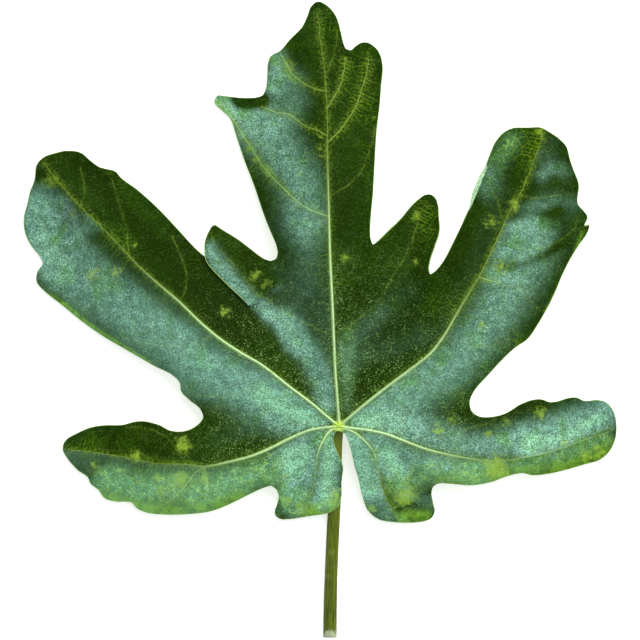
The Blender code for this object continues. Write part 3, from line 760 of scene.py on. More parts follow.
def relief(points, veins):
    """Bulges between the main veins, and the waves of the margin."""
    bulge = RIB_QUILT * (1 - np.exp(-(veins["rib"].distance / QUILT_REACH) ** 2))
    bulge += SIDE_QUILT * (1 - np.exp(-(veins["side"].distance / QUILT_REACH) ** 2))
    swell = np.zeros(len(points))
    for x_share, y_share, phase in WAVE_DIRECTIONS:
        travel = points @ np.array([x_share, y_share])
        swell += np.sin(2 * math.pi * travel / WAVE_LENGTH + phase)
    return bulge + WAVE * swell / len(WAVE_DIRECTIONS) * np.exp(-veins["margin"] / WAVE_REACH)


def on_the_ground(points, leaf):
    """0 on the flat spots that the blade stands on, rising to 1 away from them."""
    free = np.ones(len(points))
    for foot in leaf.feet:
        away = np.linalg.norm(points - foot, axis=1)
        free *= smooth_step((away - FOOT_FLAT) / FOOT_REACH)
    return free


def crest(near, height, groove, widest):
    """A raised vein with a shallow groove at each side, as a change of height."""
    ratio = near.distance / np.maximum(near.half_width, SHORTEST)
    beside = np.exp(-((ratio - GROOVE_PLACE) / GROOVE_REACH) ** 2)
    return (height * np.clip(CREST_END - ratio, 0, 1) - groove * beside) * (near.half_width / widest) ** 3


def wrinkles(points):
    """The change of height that the folds of this one leaf make."""
    change = np.zeros(len(points))
    for fold in FOLDS:
        distance, along = along_line(points, page_line(fold.route, MARK_STEP))
        ends = smooth_step(np.minimum(along, 1 - along) / FOLD_TAPER)
        change += fold.height * MM * ends * np.exp(-(distance / (fold.half_width * MM)) ** 2)
    return change


def upper_heights(points, leaf, veins):
    """Heights of the blade's upper face."""
    above = arch(points, leaf) + relief(points, veins) + wrinkles(points)
    above = smooth_max(above, LOWEST_FREE, LOWEST_BLEND) * on_the_ground(points, leaf)
    above += LAP_HEIGHT * lap(points, leaf)
    heights = smooth_max(above + CAD_LAMINA, stalk_cover(points, leaf), COVER_BLEND)
    vein_gap = np.minimum.reduce([veins[kind].distance for kind in RIDGES])
    heights += NET_QUILT * (1 - np.exp(-(vein_gap / NET_QUILT_REACH) ** 2))
    heights += crest(veins["rib"], RIB_CREST, RIB_GROOVE, RIB_HALF_WIDTHS[0])
    heights += crest(veins["side"], SIDE_CREST, SIDE_GROOVE, SIDE_HALF_WIDTHS[0])
    return heights


def depth_below(veins):
    """How far the veins stand out of the underside."""
    depths = []
    for kind, ridge in RIDGES.items():
        near = veins[kind]
        share = np.clip(near.half_width / ridge.half_width, RIDGE_LEAST, 1)
        depths.append(ridge.depth * share * np.clip(1 - (near.distance / (ridge.reach * share)) ** 2, 0, 1))
    return np.maximum.reduce(depths)


def fill_points(leaf, taken):
    """Loose points that fill the sheet in a staggered grid, clear of all the lines."""
    tree = kdtree.KDTree(len(taken))
    for i, place in enumerate(taken):
        tree.insert((*place, 0.0), i)
    tree.balance()
    low = leaf.margin.min(axis=0)
    high = leaf.margin.max(axis=0)
    kept = []
    for row, y in enumerate(np.arange(low[1], high[1], FILL_STEP * math.sqrt(3) / 2)):
        start = low[0] + (row % 2) * FILL_STEP / 2
        for x in np.arange(start, high[0], FILL_STEP):
            if tree.find((x, y, 0.0))[2] > FILL_CLEARANCE:
                kept.append((x, y))
    return np.array(kept)


def triangulate(places, edges, count):
    """Triangles within the margin, which the first count places are: their points and faces."""
    margin = [list(range(count))]
    places = [Vector(place) for place in places]
    cut = geometry.delaunay_2d_cdt(places, edges, margin, INSIDE_ONLY, SAME_PLACE)
    flat = np.array([tuple(place) for place in cut[0]])
    faces = np.array([face for face in cut[2] if len(face) == 3])
    used = np.unique(faces)
    renumbered = np.full(len(flat), -1)
    renumbered[used] = np.arange(len(used))
    flat = flat[used]
    faces = renumbered[faces]
    a, b, c = (flat[faces[:, i]] for i in range(3))
    turn = (b[:, 0] - a[:, 0]) * (c[:, 1] - a[:, 1]) - (b[:, 1] - a[:, 1]) * (c[:, 0] - a[:, 0])
    faces[turn < 0] = faces[turn < 0][:, ::-1]
    return flat, faces


def points_between_veins(flat, faces, veins):
    """Middles of the edges that bridge a gap between two veins, so that the gap gets a point of its own."""
    edges = np.vstack([faces[:, [0, 1]], faces[:, [1, 2]], faces[:, [2, 0]]])
    edges = np.unique(np.sort(edges, axis=1), axis=0)
    on_vein = veins.measure(flat).distance < ON_VEIN
    edges = edges[on_vein[edges[:, 0]] & on_vein[edges[:, 1]]]
    middles = (flat[edges[:, 0]] + flat[edges[:, 1]]) / 2
    return middles[veins.measure(middles).distance > OFF_VEIN]


def points_beside(strands):
    """Points at both sides of each vein, at its edge and in the groove next to it."""
    beside = []
    for one in strands:
        tangents = unit_tangents(one.line)
        across = np.column_stack([-tangents[:, 1], tangents[:, 0]]) * one.half_widths[:, None]
        for reach in BESIDE_RIB:
            beside += [tuple(place) for place in (one.line + reach * across)[BESIDE_START:-1]]
    return beside


def sheet(leaf):
    """The blade's plan as triangles: its points and faces, with all the veins along edges."""
    count = len(leaf.margin)
    points = [tuple(place) for place in leaf.margin]
    number_of = {}
    edges = []
    for one in leaf.all_strands:
        last = None
        for place in one.line:
            key = (round(place[0] * MICRONS_PER_METRE), round(place[1] * MICRONS_PER_METRE))
            if key not in number_of:
                number_of[key] = len(points)
                points.append(tuple(place))
            here = number_of[key]
            if last is not None and last != here:
                edges.append((last, here))
            last = here
    points = np.array(points + points_beside(leaf.rib_strands))
    places = np.vstack([points, fill_points(leaf, points)])
    flat, faces = triangulate(places, edges, count)
    between = points_between_veins(flat, faces, Field(leaf.all_strands))
    return triangulate(np.vstack([places, between]), edges, count)


def rim_edges(faces):
    """The edges that only one face uses, in that face's direction."""
    seen = dict.fromkeys(edge for a, b, c in faces for edge in ((a, b), (b, c), (c, a)))
    return [edge for edge in seen if (edge[1], edge[0]) not in seen]


def marked(points, marks):
    """How strongly each point is marked by soft round marks on the page."""
    total = np.zeros(len(points))
    for x, y, reach, strength in marks:
        away = np.linalg.norm(points - on_page((x, y)), axis=1) / (reach * SQUARE)
        total += strength * np.exp(-away ** 2)
    return total


def paleness(near, leaf):
    """How pale the nearest rib is: 1 near the junction, 0 where it has turned green."""
    lengths = np.array([VEIN_STEP * len(one.line) for one in leaf.rib_strands])
    clear = np.array([rib.clear for rib in MAIN_RIBS.values()])
    share = near.run / lengths[near.vein]
    return 1 - smooth_step((share - clear[near.vein]) / RIB_FADE + 0.5)


def bays(points, leaf):
    """Which part of the blade each point lies in, counted clockwise: a new part starts at each main rib."""
    near = Field(leaf.rib_strands).measure(points)
    found = near.vein.copy()
    for number, one in enumerate(leaf.rib_strands):
        mine = near.vein == number
        start = np.minimum((near.run[mine] / VEIN_STEP).astype(int), len(one.line) - 2)
        heading = one.line[start + 1] - one.line[start]
        away = points[mine] - one.line[start]
        found[mine] += heading[:, 1] * away[:, 0] > heading[:, 0] * away[:, 1]
    return found


def streaked(points, streaks, leaf):
    """How strongly each point is marked by soft streaks, each of which stays between two ribs."""
    bay = bays(points, leaf)
    total = np.zeros(len(points))
    for streak in streaks:
        distance = along_line(points, page_line(streak.route, MARK_STEP))[0]
        mark = streak.strength * np.exp(-(distance / (streak.reach * SQUARE)) ** 2)
        middle = on_page(streak.route[len(streak.route) // 2])
        total += np.where(bay == bays(middle[None], leaf)[0], mark, 0.0)
    return total


def between_two(faces, nearest):
    """Which points belong to a triangle whose corners are nearest to different veins."""
    unlike = (nearest[faces] != nearest[faces[:, :1]]).any(axis=1)
    found = np.zeros(len(nearest), dtype=bool)
    found[faces[unlike]] = True
    return found


def store_on_points(mesh, name, x, y, z):
    """Stores three values for each point of the upper face, and the same below it."""
    attribute = mesh.attributes.new(name, "FLOAT_VECTOR", "POINT")
    both_faces = np.tile(np.column_stack([x, y, z]), (2, 1)).astype(np.float32)
    attribute.data.foreach_set("vector", both_faces.ravel())


def store_looks(mesh, flat, faces, leaf, veins):
    """Stores what the materials read. Gaps and runs are in mm, and ratios in half widths of the vein."""
    ratios = {kind: np.minimum(veins[kind].distance / np.maximum(veins[kind].half_width, SHORTEST), FARTHEST)
              for kind in RIDGES}
    small = np.minimum(ratios["twig"], ratios["net"])
    store_on_points(mesh, "veins", ratios["rib"], ratios["side"], small)
    store_on_points(mesh, "gaps", *(gap / MM for gap in (
        veins["rib"].distance, veins["side"].distance, veins["margin"])))
    comb = veins["comb"]
    reach = np.where(between_two(faces, comb.vein), COMB_END, comb.distance)
    store_on_points(mesh, "comb", comb.run / MM, reach / MM, streaked(flat, FRESH, leaf))
    clear = veins["side"].vein < len(CLEAR_VEINS)
    turned = np.minimum.reduce([along_line(flat, page_line(edge, VEIN_STEP))[0] for edge in TURNED_EDGES])
    store_on_points(mesh, "tints", paleness(veins["rib"], leaf), clear, turned / MM)
    swelling = (veins["rib"].half_width / RIB_HALF_WIDTHS[0]) ** 3
    store_on_points(mesh, "swelling", swelling, swelling, swelling)
    # Marks: yellowish blotches, the tone with its painted shade, and the painted sheen that stands in for the
    # window's reflection
    store_on_points(mesh, "marks", marked(flat, BLOTCHES), streaked(flat, TONES_AND_PAINTED_SHADE, leaf),
                    streaked(flat, PAINTED_SHEEN, leaf))


def point_normals(points, faces):
    """The normal at each point, from the faces around it."""
    a, b, c = (points[faces[:, i]] for i in range(3))
    face_normals = np.cross(b - a, c - a)
    normals = np.zeros_like(points)
    for i in range(3):
        np.add.at(normals, faces[:, i], face_normals)
    return normals / np.linalg.norm(normals, axis=1)[:, None]


def new_object(name, points, polygons):
    """A mesh object in the scene."""
    mesh = bpy.data.meshes.new(name)
    mesh.from_pydata([tuple(point) for point in points], [], polygons)
    made = bpy.data.objects.new(name, mesh)
    bpy.context.scene.collection.objects.link(made)
    return made


def make_blade(leaf):
    """The blade as one closed mesh: upper face, underside with raised veins, and rim."""
    flat, faces = sheet(leaf)
    groups = {"rib": leaf.rib_strands, "side": leaf.side_strands, "twig": leaf.twig_strands,
              "net": leaf.net_strands, "comb": leaf.rib_strands + leaf.side_strands}
    veins = {kind: Field(strands).measure(flat) for kind, strands in groups.items()}
    veins["margin"] = leaf.to_margin(flat)
    heights = upper_heights(flat, leaf, veins)
    upper = np.column_stack([flat + lap(flat, leaf)[:, None] * LAP_SLIDE, heights])
    lower = upper - LAMINA * point_normals(upper, faces)
    lower[:, 2] -= depth_below(veins) * on_the_ground(flat, leaf)
    lower[:, 2] = np.maximum(lower[:, 2], 0.0)
    count = len(flat)
    polygons = [tuple(face) for face in faces]
    polygons += [tuple(face[::-1] + count) for face in faces]
    polygons += [(b, a, a + count, b + count) for a, b in rim_edges(faces)]
    blade = new_object("fig_blade", np.vstack([upper, lower]), polygons)
    blade.data.validate()
    store_looks(blade.data, flat, faces, leaf, veins)
    second_material = np.zeros(len(polygons), dtype=np.int32)
    second_material[len(faces):2 * len(faces)] = 1
    blade.data.polygons.foreach_set("material_index", second_material)
    blade.data.shade_smooth()
    blade.data.set_sharp_from_angle(angle=math.radians(RIM_ANGLE))
    return blade


def stalk_ring(place, tangent, share):
    """The points around the stalk at one place of its route."""
    across = np.cross(tangent, (0, 0, 1))
    across /= np.linalg.norm(across)
    up = np.cross(across, tangent)
    growth = np.interp(share * (len(STALK_GROWTH) - 1), range(len(STALK_GROWTH)), STALK_GROWTH)
    angles = np.arange(STALK_SIDES) * 2 * math.pi / STALK_SIDES
    flutes = 1 + sum(depth * np.sin(count * angles + twist * share) for depth, count, twist in STALK_FLUTES)
    radii = STALK_DIAMETER / 2 * growth * flutes
    ring = place + radii[:, None] * (np.outer(np.cos(angles), across) + np.outer(np.sin(angles), up))
    ring[:, 2] = np.maximum(ring[:, 2], 0.0)
    return ring


def make_stalk(leaf):
    """The stalk: a fluted tube along its route, closed at both ends."""
    route = leaf.stalk
    shares = np.linspace(0, 1, len(route))
    rings = [stalk_ring(*at) for at in zip(route, unit_tangents(route), shares)]
    points = np.vstack(rings + [route[:1], route[-1:]])
    top, bottom = len(points) - 2, len(points) - 1
    around = [(j, (j + 1) % STALK_SIDES) for j in range(STALK_SIDES)]
    starts = range(0, top, STALK_SIDES)
    polygons = []
    for here, there in zip(starts, starts[1:]):
        polygons += [(here + j, here + k, there + k, there + j) for j, k in around]
    polygons += [(top, k, j) for j, k in around]
    polygons += [(starts[-1] + j, starts[-1] + k, bottom) for j, k in around]
    stalk = new_object("fig_stalk", points, polygons)
    stalk.data.shade_smooth()
    return stalk


class Shader:
    """A material under construction: its colour and relief so far, and short calls for its nodes."""

    def __init__(self, name, colour):
        self.material = bpy.data.materials.new(name)
        self.material.use_nodes = True
        self.tree = self.material.node_tree
        self.surface = self.tree.nodes["Principled BSDF"]
        self.colour = colour
        self.normal = None
        coordinates = self.tree.nodes.new("ShaderNodeTexCoord")
        scale = self.node("VectorMath", "SCALE", coordinates.outputs["Object"])
        scale.inputs["Scale"].default_value = 1 / MM
        self.place = scale.outputs[0]

    def feed(self, socket, value):
        """Sets a socket to a plain value, or links another socket to it."""
        if isinstance(value, bpy.types.NodeSocket):
            self.tree.links.new(value, socket)
        elif socket.type == "RGBA":
            socket.default_value = (*value, 1.0)
        else:
            socket.default_value = value

    def node(self, kind, operation=None, *values):
        """A new node, with its operation and its first inputs."""
        made = self.tree.nodes.new("ShaderNode" + kind)
        if operation:
            made.operation = operation
        for socket, value in zip(made.inputs, values):
            self.feed(socket, value)
        return made

    def attribute(self, name):
        """The three values that are stored under a name."""
        made = self.node("Attribute")
        made.attribute_name = name
        return self.node("SeparateXYZ", None, made.outputs["Vector"]).outputs

    def math(self, operation, a, b=0.0):
        """The result of one operation on one or two values."""
        return self.node("Math", operation, a, b).outputs[0]

    def times(self, first, *others):
        """The product of several values."""
        for other in others:
            first = self.math("MULTIPLY", first, other)
        return first

    def larger(self, a, b):
        """The larger of two values."""
        return self.math("MAXIMUM", a, b)

    def apart(self, a, b):
        """How far two values are apart."""
        return self.math("ABSOLUTE", self.math("SUBTRACT", a, b))

    def span(self, value, low, high, to_low=0.0, to_high=1.0):
        """Goes smoothly from to_low to to_high as a value goes from low to high."""
        made = self.node("MapRange")
        made.interpolation_type = "SMOOTHSTEP"
        for name, number in (("Value", value), ("From Min", low), ("From Max", high),
                             ("To Min", to_low), ("To Max", to_high)):
            self.feed(made.inputs[name], number)
        return made.outputs["Result"]

    def fade(self, value, low, high, most=1.0):
        """Falls smoothly from most to 0 as a value goes from low to high."""
        return self.span(value, low, high, most, 0.0)

    def mix(self, factor, a, b):
        """Goes from colour a to colour b as a factor goes from 0 to 1."""
        made = self.node("Mix")
        made.data_type = "RGBA"
        self.feed(made.inputs["Factor"], factor)
        self.feed(made.inputs[6], a)
        self.feed(made.inputs[7], b)
        return made.outputs[2]

    def lay(self, colour, *factors):
        """Lays a colour over the colour so far, as strongly as the product of the factors."""
        self.colour = self.mix(self.times(*factors), self.colour, colour)

    def noise(self, scale, detail=3.0, roughness=0.55, vector=None):
        """A noise of so many waves per mm."""
        made = self.node("TexNoise", None, self.place if vector is None else vector)
        for name, number in (("Scale", scale), ("Detail", detail), ("Roughness", roughness)):
            made.inputs[name].default_value = number
        return made.outputs["Fac"]

    def cells(self, scale, feature="F1"):
        """Rounded cells, so many per mm."""
        made = self.node("TexVoronoi", None, self.place)
        made.feature = feature
        made.inputs["Scale"].default_value = scale
        return made.outputs

    def distance_to(self, place):
        """Distance from a place on the page, in mm."""
        flat = self.node("VectorMath", "MULTIPLY", self.place, (1.0, 1.0, 0.0))
        return self.node("VectorMath", "DISTANCE", flat.outputs[0],
                         (*(on_page(place) / MM), 0.0)).outputs["Value"]

    def bump(self, height, distance, strength=1.0):
        """Adds a fine relief, in metres, to the relief so far."""
        made = self.node("Bump")
        made.inputs["Strength"].default_value = strength
        made.inputs["Distance"].default_value = distance
        self.feed(made.inputs["Height"], height)
        if self.normal is not None:
            self.feed(made.inputs["Normal"], self.normal)
        self.normal = made.outputs["Normal"]

    def finish(self, roughness, specular):
        """Sets the surface's own sockets."""
        for name, value in (("Base Color", self.colour), ("Normal", self.normal),
                            ("Roughness", roughness), ("Specular IOR Level", specular)):
            self.feed(self.surface.inputs[name], value)
        return self.material


# Colours, as linear red, green and blue
OLIVE_DARK = (0.007, 0.021, 0.0001)
GREEN_DARK = (0.008, 0.028, 0.0004)
GREEN_MID = (0.019, 0.058, 0.0008)
YELLOW_GREEN = (0.034, 0.080, 0.0004)
NET_GREEN = (0.110, 0.210, 0.002)
FRESH_GREEN = (0.150, 0.330, 0.020)
SCRAWL = (0.300, 0.520, 0.080)
NET_BRIGHT = (0.160, 0.300, 0.004)
# Painted sheen: colours that stand in for the window's reflection on the blade
PAINTED_SHEEN_BLUE = (0.220, 0.470, 0.375)
PAINTED_SHEEN_GREEN = (0.178, 0.470, 0.190)
PAINTED_SHEEN_LIGHT = (0.315, 0.710, 0.430)
HALO_GREEN = (0.130, 0.220, 0.012)
VEIN_GREEN = (0.190, 0.280, 0.035)
VEIN_CLEAR = (0.210, 0.330, 0.050)
# Veins where the painted sheen lies over them
VEIN_IN_PAINTED_SHEEN = (0.300, 0.520, 0.190)
RIB_PALE = (0.640, 0.900, 0.470)
FLANK_GREEN = (0.210, 0.360, 0.080)
BLOTCH = (0.250, 0.400, 0.035)
SPECK = (0.300, 0.500, 0.140)
# Painted glint: bright specks that stand in for sparkles of the window's reflection
PAINTED_GLINT = (0.480, 0.800, 0.560)
KNOT_YELLOW = (0.520, 0.740, 0.110)
EDGE_PAINTED_HIGHLIGHT = (0.300, 0.440, 0.130)
MINT = (0.220, 0.400, 0.220)
MINT_PALE = (0.440, 0.640, 0.400)
UNDER_GREEN = (0.150, 0.250, 0.110)
UNDER_VEIN = (0.400, 0.480, 0.230)
STALK_OLIVE = (0.120, 0.155, 0.006)
STALK_DARK = (0.045, 0.060, 0.002)
STALK_PALE_AND_PAINTED_LIGHT = (0.190, 0.230, 0.030)
STALK_CUT = (0.400, 0.450, 0.300)
FLOOR_WHITE = (0.88, 0.88, 0.88)
FLOOR_BRIGHT = (0.90, 0.90, 0.90)

# Heights of the relief that the materials add, in metres
RIB_BUMP = 0.00030
NET_BUMP = 0.00003
GRAIN_BUMP = 0.00008
UNDER_CELL_BUMP = 0.00012
UNDER_GRAIN_BUMP = 0.0001
STALK_BUMP = 0.0003
FLOOR_BUMP = 0.00002

# The comb of short veins beside the larger ones: teeth per mm, sway and lean
COMB_TEETH = 0.8
COMB_SWAY = 2.5
COMB_LEAN = 0.12


class UpperShader(Shader):
    """The upper face's material, with what the mesh stores for it and the noises that its layers share."""

    def __init__(self):
        super().__init__("leaf_upper", OLIVE_DARK)
        self.rib, self.side, self.small = self.attribute("veins")
        self.rib_gap, self.side_gap, self.margin_gap = self.attribute("gaps")
        self.run, self.reach, self.fresh = self.attribute("comb")
        self.pale, self.clear, self.turned = self.attribute("tints")
        self.blotch, self.tone, self.painted_sheen = self.attribute("marks")
        self.swelling = self.attribute("swelling")[0]
        self.broad = self.noise(0.05, 2.0, 0.5)
        self.patches = self.noise(0.14, 3.0, 0.6)
        self.mottle = self.noise(0.35, 4.0, 0.65)
        self.grain = self.noise(1.3, 3.0, 0.7)
        self.fine = self.noise(2.0, 2.0, 0.6)
        self.stubs = self.comb()
        self.net = self.fade(self.small, 0.2, 1.3, 0.9)

    def comb(self):
        """Fine lines that leave the larger veins at right angles."""
        bent = self.math("ADD", self.times(self.run, COMB_TEETH), self.times(self.mottle, COMB_SWAY))
        bent = self.math("ADD", bent, self.times(self.reach, COMB_LEAN))
        teeth = self.fade(self.math("PINGPONG", bent, 0.5), 0.03, 0.17)
        return self.times(teeth, self.fade(self.reach, 1.5, COMB_END / MM))


def lay_greens(s):
    """The ground of dark greens, brighter and yellower where the tone says so, and darkened by painted shade
    where it is below 0.
    """
    s.lay(GREEN_DARK, s.span(s.broad, 0.35, 0.65))
    s.lay(GREEN_MID, s.span(s.patches, 0.45, 0.65), 0.3)
    s.lay(GREEN_MID, s.span(s.mottle, 0.42, 0.68), 0.25)
    s.lay(GREEN_MID, s.span(s.grain, 0.48, 0.66), 0.7)
    s.lay(YELLOW_GREEN, s.span(s.tone, 0.05, 0.9), s.span(s.grain, 0.42, 0.64, 0.0, 0.6))
    # Painted shade: dark olive where the tone is below 0
    s.lay(OLIVE_DARK, s.span(s.tone, 0.0, -0.55), 0.92)


def lay_painted_sheen(s):
    """The painted sheen, a colour standing in for the window's reflection: bluer where the tone is low,
    lighter where it is strongest, and thinner over the small veins.
    """
    blueness = s.math("SUBTRACT", s.patches, s.times(s.tone, 0.5))
    sheen_colour = s.mix(s.span(blueness, 0.30, 0.52), PAINTED_SHEEN_GREEN, PAINTED_SHEEN_BLUE)
    sheen_colour = s.mix(s.span(s.painted_sheen, 0.9, 1.5), sheen_colour, PAINTED_SHEEN_LIGHT)
    s.lay(sheen_colour, s.span(s.painted_sheen, 0.05, 0.95), s.span(s.fine, 0.38, 0.62, 0.35, 1.0),
          s.span(s.mottle, 0.36, 0.60, 0.65, 1.0))
    s.lay(GREEN_MID, s.fade(s.small, 0.5, 2.4, 0.25), s.span(s.painted_sheen, 0.1, 0.6))


def lay_net(s):
    """The net of small veins, which shows where the tone is bright and along the margin."""
    bright = s.span(s.math("ADD", s.times(s.tone, 0.6), s.broad), 0.45, 0.95, 0.04, 1.0)
    rim = s.times(s.fade(s.margin_gap, 1.0, 10.0, 0.22), s.span(s.patches, 0.40, 0.60, 0.2, 1.0))
    shown = s.larger(bright, rim)
    s.lay(NET_GREEN, s.stubs, shown)
    s.lay(NET_BRIGHT, s.net, shown, s.span(s.grain, 0.36, 0.58, 0.35, 0.9))


def lay_halos(s):
    """Lighter green beside the larger veins, feathered along those that show clearly."""
    beside = s.larger(s.fade(s.side_gap, 0.0, 1.2, 0.2), s.fade(s.rib_gap, 0.0, 2.2, 0.6))
    feathers = s.times(s.clear, s.fade(s.side_gap, 0.0, 2.6), s.span(s.stubs, 0.0, 0.8, 0.5, 1.4))
    s.lay(HALO_GREEN, s.larger(beside, feathers), s.span(s.grain, 0.42, 0.6))


def lay_scrawl(s):
    """Thin broken lines where a bright tone lies under the painted sheen."""
    line = s.fade(s.apart(s.noise(0.28), 0.5), 0.0, 0.03)
    s.lay(SCRAWL, line, s.span(s.patches, 0.40, 0.55, 0.1, 1.0), s.span(s.tone, 0.05, 0.3),
          s.span(s.painted_sheen, 0.25, 0.6), s.span(s.mottle, 0.42, 0.56, 0.4, 1.0))


def lay_fresh(s):
    """Fresh light green, most of all along lower margins."""
    s.lay(FRESH_GREEN, s.span(s.fresh, 0.1, 0.9), s.span(s.mottle, 0.32, 0.56, 0.3, 1.0),
          s.span(s.grain, 0.34, 0.60, 0.55, 1.0))


def lay_blotches(s):
    """Yellowish blotches with ragged edges."""
    ragged = s.times(s.math("SUBTRACT", s.noise(0.6, 4.0, 0.65), 0.5), 2.6)
    s.lay(BLOTCH, s.span(s.math("ADD", s.blotch, ragged), 0.1, 1.2), s.span(s.blotch, 0.05, 0.3),
          s.span(s.grain, 0.3, 0.6, 0.5, 1.0))


def lay_veins(s):
    """Side veins, then ribs with painted shade in the groove beside them and a light flank, pale near the
    junction.
    """
    # Painted shade: a dark green line in the groove beside each pale rib
    s.lay(GREEN_DARK, s.fade(s.apart(s.rib, GROOVE_PAINTED_SHADE), 0.2, 0.8, 0.5), s.pale)
    s.lay(FLANK_GREEN, s.fade(s.rib_gap, 0.35, 0.80, 0.8), s.pale, s.span(s.mottle, 0.3, 0.5, 0.5, 1.0))
    # Veins take a paler colour where the painted sheen lies over them
    in_painted_sheen = s.span(s.painted_sheen, 0.15, 0.65)
    side = s.mix(in_painted_sheen, s.mix(s.clear, VEIN_GREEN, VEIN_CLEAR), VEIN_IN_PAINTED_SHEEN)
    s.lay(side, s.fade(s.side, 0.4, 1.6),
          s.larger(s.span(s.mottle, 0.42, 0.62, 0.05, 0.4), s.span(s.clear, 0.0, 1.0, 0.0, 0.65)))
    rib = s.mix(s.pale, s.mix(in_painted_sheen, VEIN_GREEN, VEIN_IN_PAINTED_SHEEN), RIB_PALE)
    rib = s.mix(s.times(s.span(s.grain, 0.4, 0.7), 0.3), rib, VEIN_GREEN)
    s.lay(rib, s.fade(s.rib, 0.6, 1.3), s.span(s.pale, 0.0, 0.5, 0.5, 1.0))
    s.lay(KNOT_YELLOW, s.fade(s.distance_to(JUNCTION), 0.8, 2.6))


def lay_specks(s):
    """Fine bright specks along the ribs and near the junction, and painted glints in the painted sheen."""
    cells = s.cells(1.6)
    chosen = s.node("SeparateXYZ", None, cells["Color"]).outputs[0]
    lone = s.times(s.fade(cells["Distance"], 0.10, 0.34), s.span(chosen, 0.25, 0.75))
    dust = s.span(s.noise(2.1, 2.0, 0.6), 0.55, 0.68)
    amount = s.times(s.span(s.rib_gap, 0.5, 6.0, 1.0, 0.7),
                     s.span(s.distance_to(JUNCTION), 20.0, 70.0, 0.9, 0.15))
    # Painted glints: the specks turn bluish white where the painted sheen lies
    s.lay(s.mix(s.span(s.painted_sheen, 0.2, 0.8), SPECK, PAINTED_GLINT), s.larger(lone, dust),
          s.larger(amount, s.times(s.painted_sheen, 0.85)), s.span(s.mottle, 0.40, 0.58, 0.3, 1.0))


def lay_edges(s):
    """The pale strips of margin that are turned over, and a painted highlight: a thin pale line along the
    margin.
    """
    turned = s.fade(s.math("ADD", s.turned, s.math("SUBTRACT", s.mottle, 0.5)), 0.8, 1.1)
    seams = s.cells(1.1, "DISTANCE_TO_EDGE")["Distance"]
    s.lay(s.mix(s.span(seams, 0.05, 0.2), MINT_PALE, MINT), turned)
    # Painted highlight along the margin's edge, faded near the root of the slit
    slit_root = s.distance_to(SLIT_OUTER_SIDE[-1])
    s.lay(EDGE_PAINTED_HIGHLIGHT, s.fade(s.margin_gap, 0.08, 0.30, 0.9), s.span(slit_root, 2.0, 6.0))


def upper_material():
    """The upper face: dark satin green with a pale net of veins, specks and yellowish blotches, and painted
    sheen, glints, shade and margin highlight.
    """
    s = UpperShader()
    for lay in (lay_greens, lay_painted_sheen, lay_net, lay_halos, lay_scrawl, lay_fresh, lay_blotches,
                lay_veins, lay_specks, lay_edges):
        lay(s)
    s.bump(s.times(s.fade(s.rib, 0.0, 1.2), s.swelling), RIB_BUMP)
    s.bump(s.math("ADD", s.stubs, s.net), NET_BUMP)
    s.bump(s.math("ADD", s.grain, s.fine), GRAIN_BUMP)
    return s.finish(roughness=0.21, specular=0.17)


def under_material():
    """The underside: paler and duller, with light veins."""
    s = Shader("leaf_underside", UNDER_GREEN)
    rib, side, small = s.attribute("veins")
    s.lay(HALO_GREEN, s.span(s.noise(0.5, 4.0, 0.6), 0.3, 0.7))
    s.lay(UNDER_VEIN, s.fade(small, 0.8, 3.0, 0.75))
    s.lay(UNDER_VEIN, s.fade(side, 1.0, 3.0, 0.9))
    s.lay(RIB_PALE, s.fade(rib, 1.0, 2.4))
    s.bump(s.fade(s.cells(1.1, "DISTANCE_TO_EDGE")["Distance"], 0.02, 0.2), UNDER_CELL_BUMP, 0.8)
    s.bump(s.noise(2.5, 3.0, 0.6), UNDER_GRAIN_BUMP, 0.6)
    return s.finish(roughness=0.62, specular=0.4)


def stalk_material():
    """The stalk: olive with fine streaks along it and paler patches, with painted light near the junction
    where the blade shades it, and lighter at its cut end.
    """
    s = Shader("leaf_stalk", STALK_DARK)
    stretch = s.node("Mapping", None, s.place)
    stretch.inputs["Scale"].default_value = STREAK_SCALE
    streaks = s.noise(1.0, 4.0, 0.6, stretch.outputs[0])
    s.lay(STALK_OLIVE, s.span(streaks, 0.35, 0.65))
    s.lay(STALK_PALE_AND_PAINTED_LIGHT, s.span(s.noise(0.25, 3.0, 0.6), 0.5, 0.75), 0.5)
    # Painted light: the stalk is paler near the junction, where the blade shades it
    s.lay(STALK_PALE_AND_PAINTED_LIGHT, s.fade(s.distance_to(JUNCTION), 6.0, 20.0, 0.8))
    ragged = s.math("ADD", s.distance_to(STALK_ROUTE[-1][:2]), s.times(s.noise(1.2), 3.0))
    s.lay(STALK_CUT, s.fade(ragged, 3.2, 4.4, 0.9))
    s.bump(streaks, STALK_BUMP)
    return s.finish(roughness=0.6, specular=0.12)


def floor_material():
    """A plain white floor that glows a little, so that the shadow on it stays faint."""
    s = Shader("floor_white", FLOOR_WHITE)
    s.lay(FLOOR_BRIGHT, s.noise(0.02, 2.0, 0.5))
    s.bump(s.noise(1.0), FLOOR_BUMP, 0.2)
    s.surface.inputs["Emission Color"].default_value = (1.0, 1.0, 1.0, 1.0)
    s.surface.inputs["Emission Strength"].default_value = FLOOR_GLOW
    return s.finish(roughness=0.9, specular=0.1)


def dress(piece, node, slot, *materials):
    """Gives a piece its materials, puts it under the root body and hides the imported part that it replaces.
    """
    for material in materials:
        piece.data.materials.append(material)
    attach(piece, "root")
    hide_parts(node)


def make_camera(scene):
    """The camera, straight above the middle of the page, which it frames."""
    data = bpy.data.cameras.new("camera")
    data.sensor_width = SENSOR
    data.lens = SENSOR * (CAMERA_HEIGHT - PAGE_HEIGHT) / (PHOTO_SQUARES * SQUARE)
    data.clip_end = CAMERA_CLIP
    camera = bpy.data.objects.new("camera", data)
    scene.collection.objects.link(camera)
    camera.location = (*on_page((PHOTO_SQUARES / 2, PHOTO_SQUARES / 2)), CAMERA_HEIGHT)
    scene.camera = camera


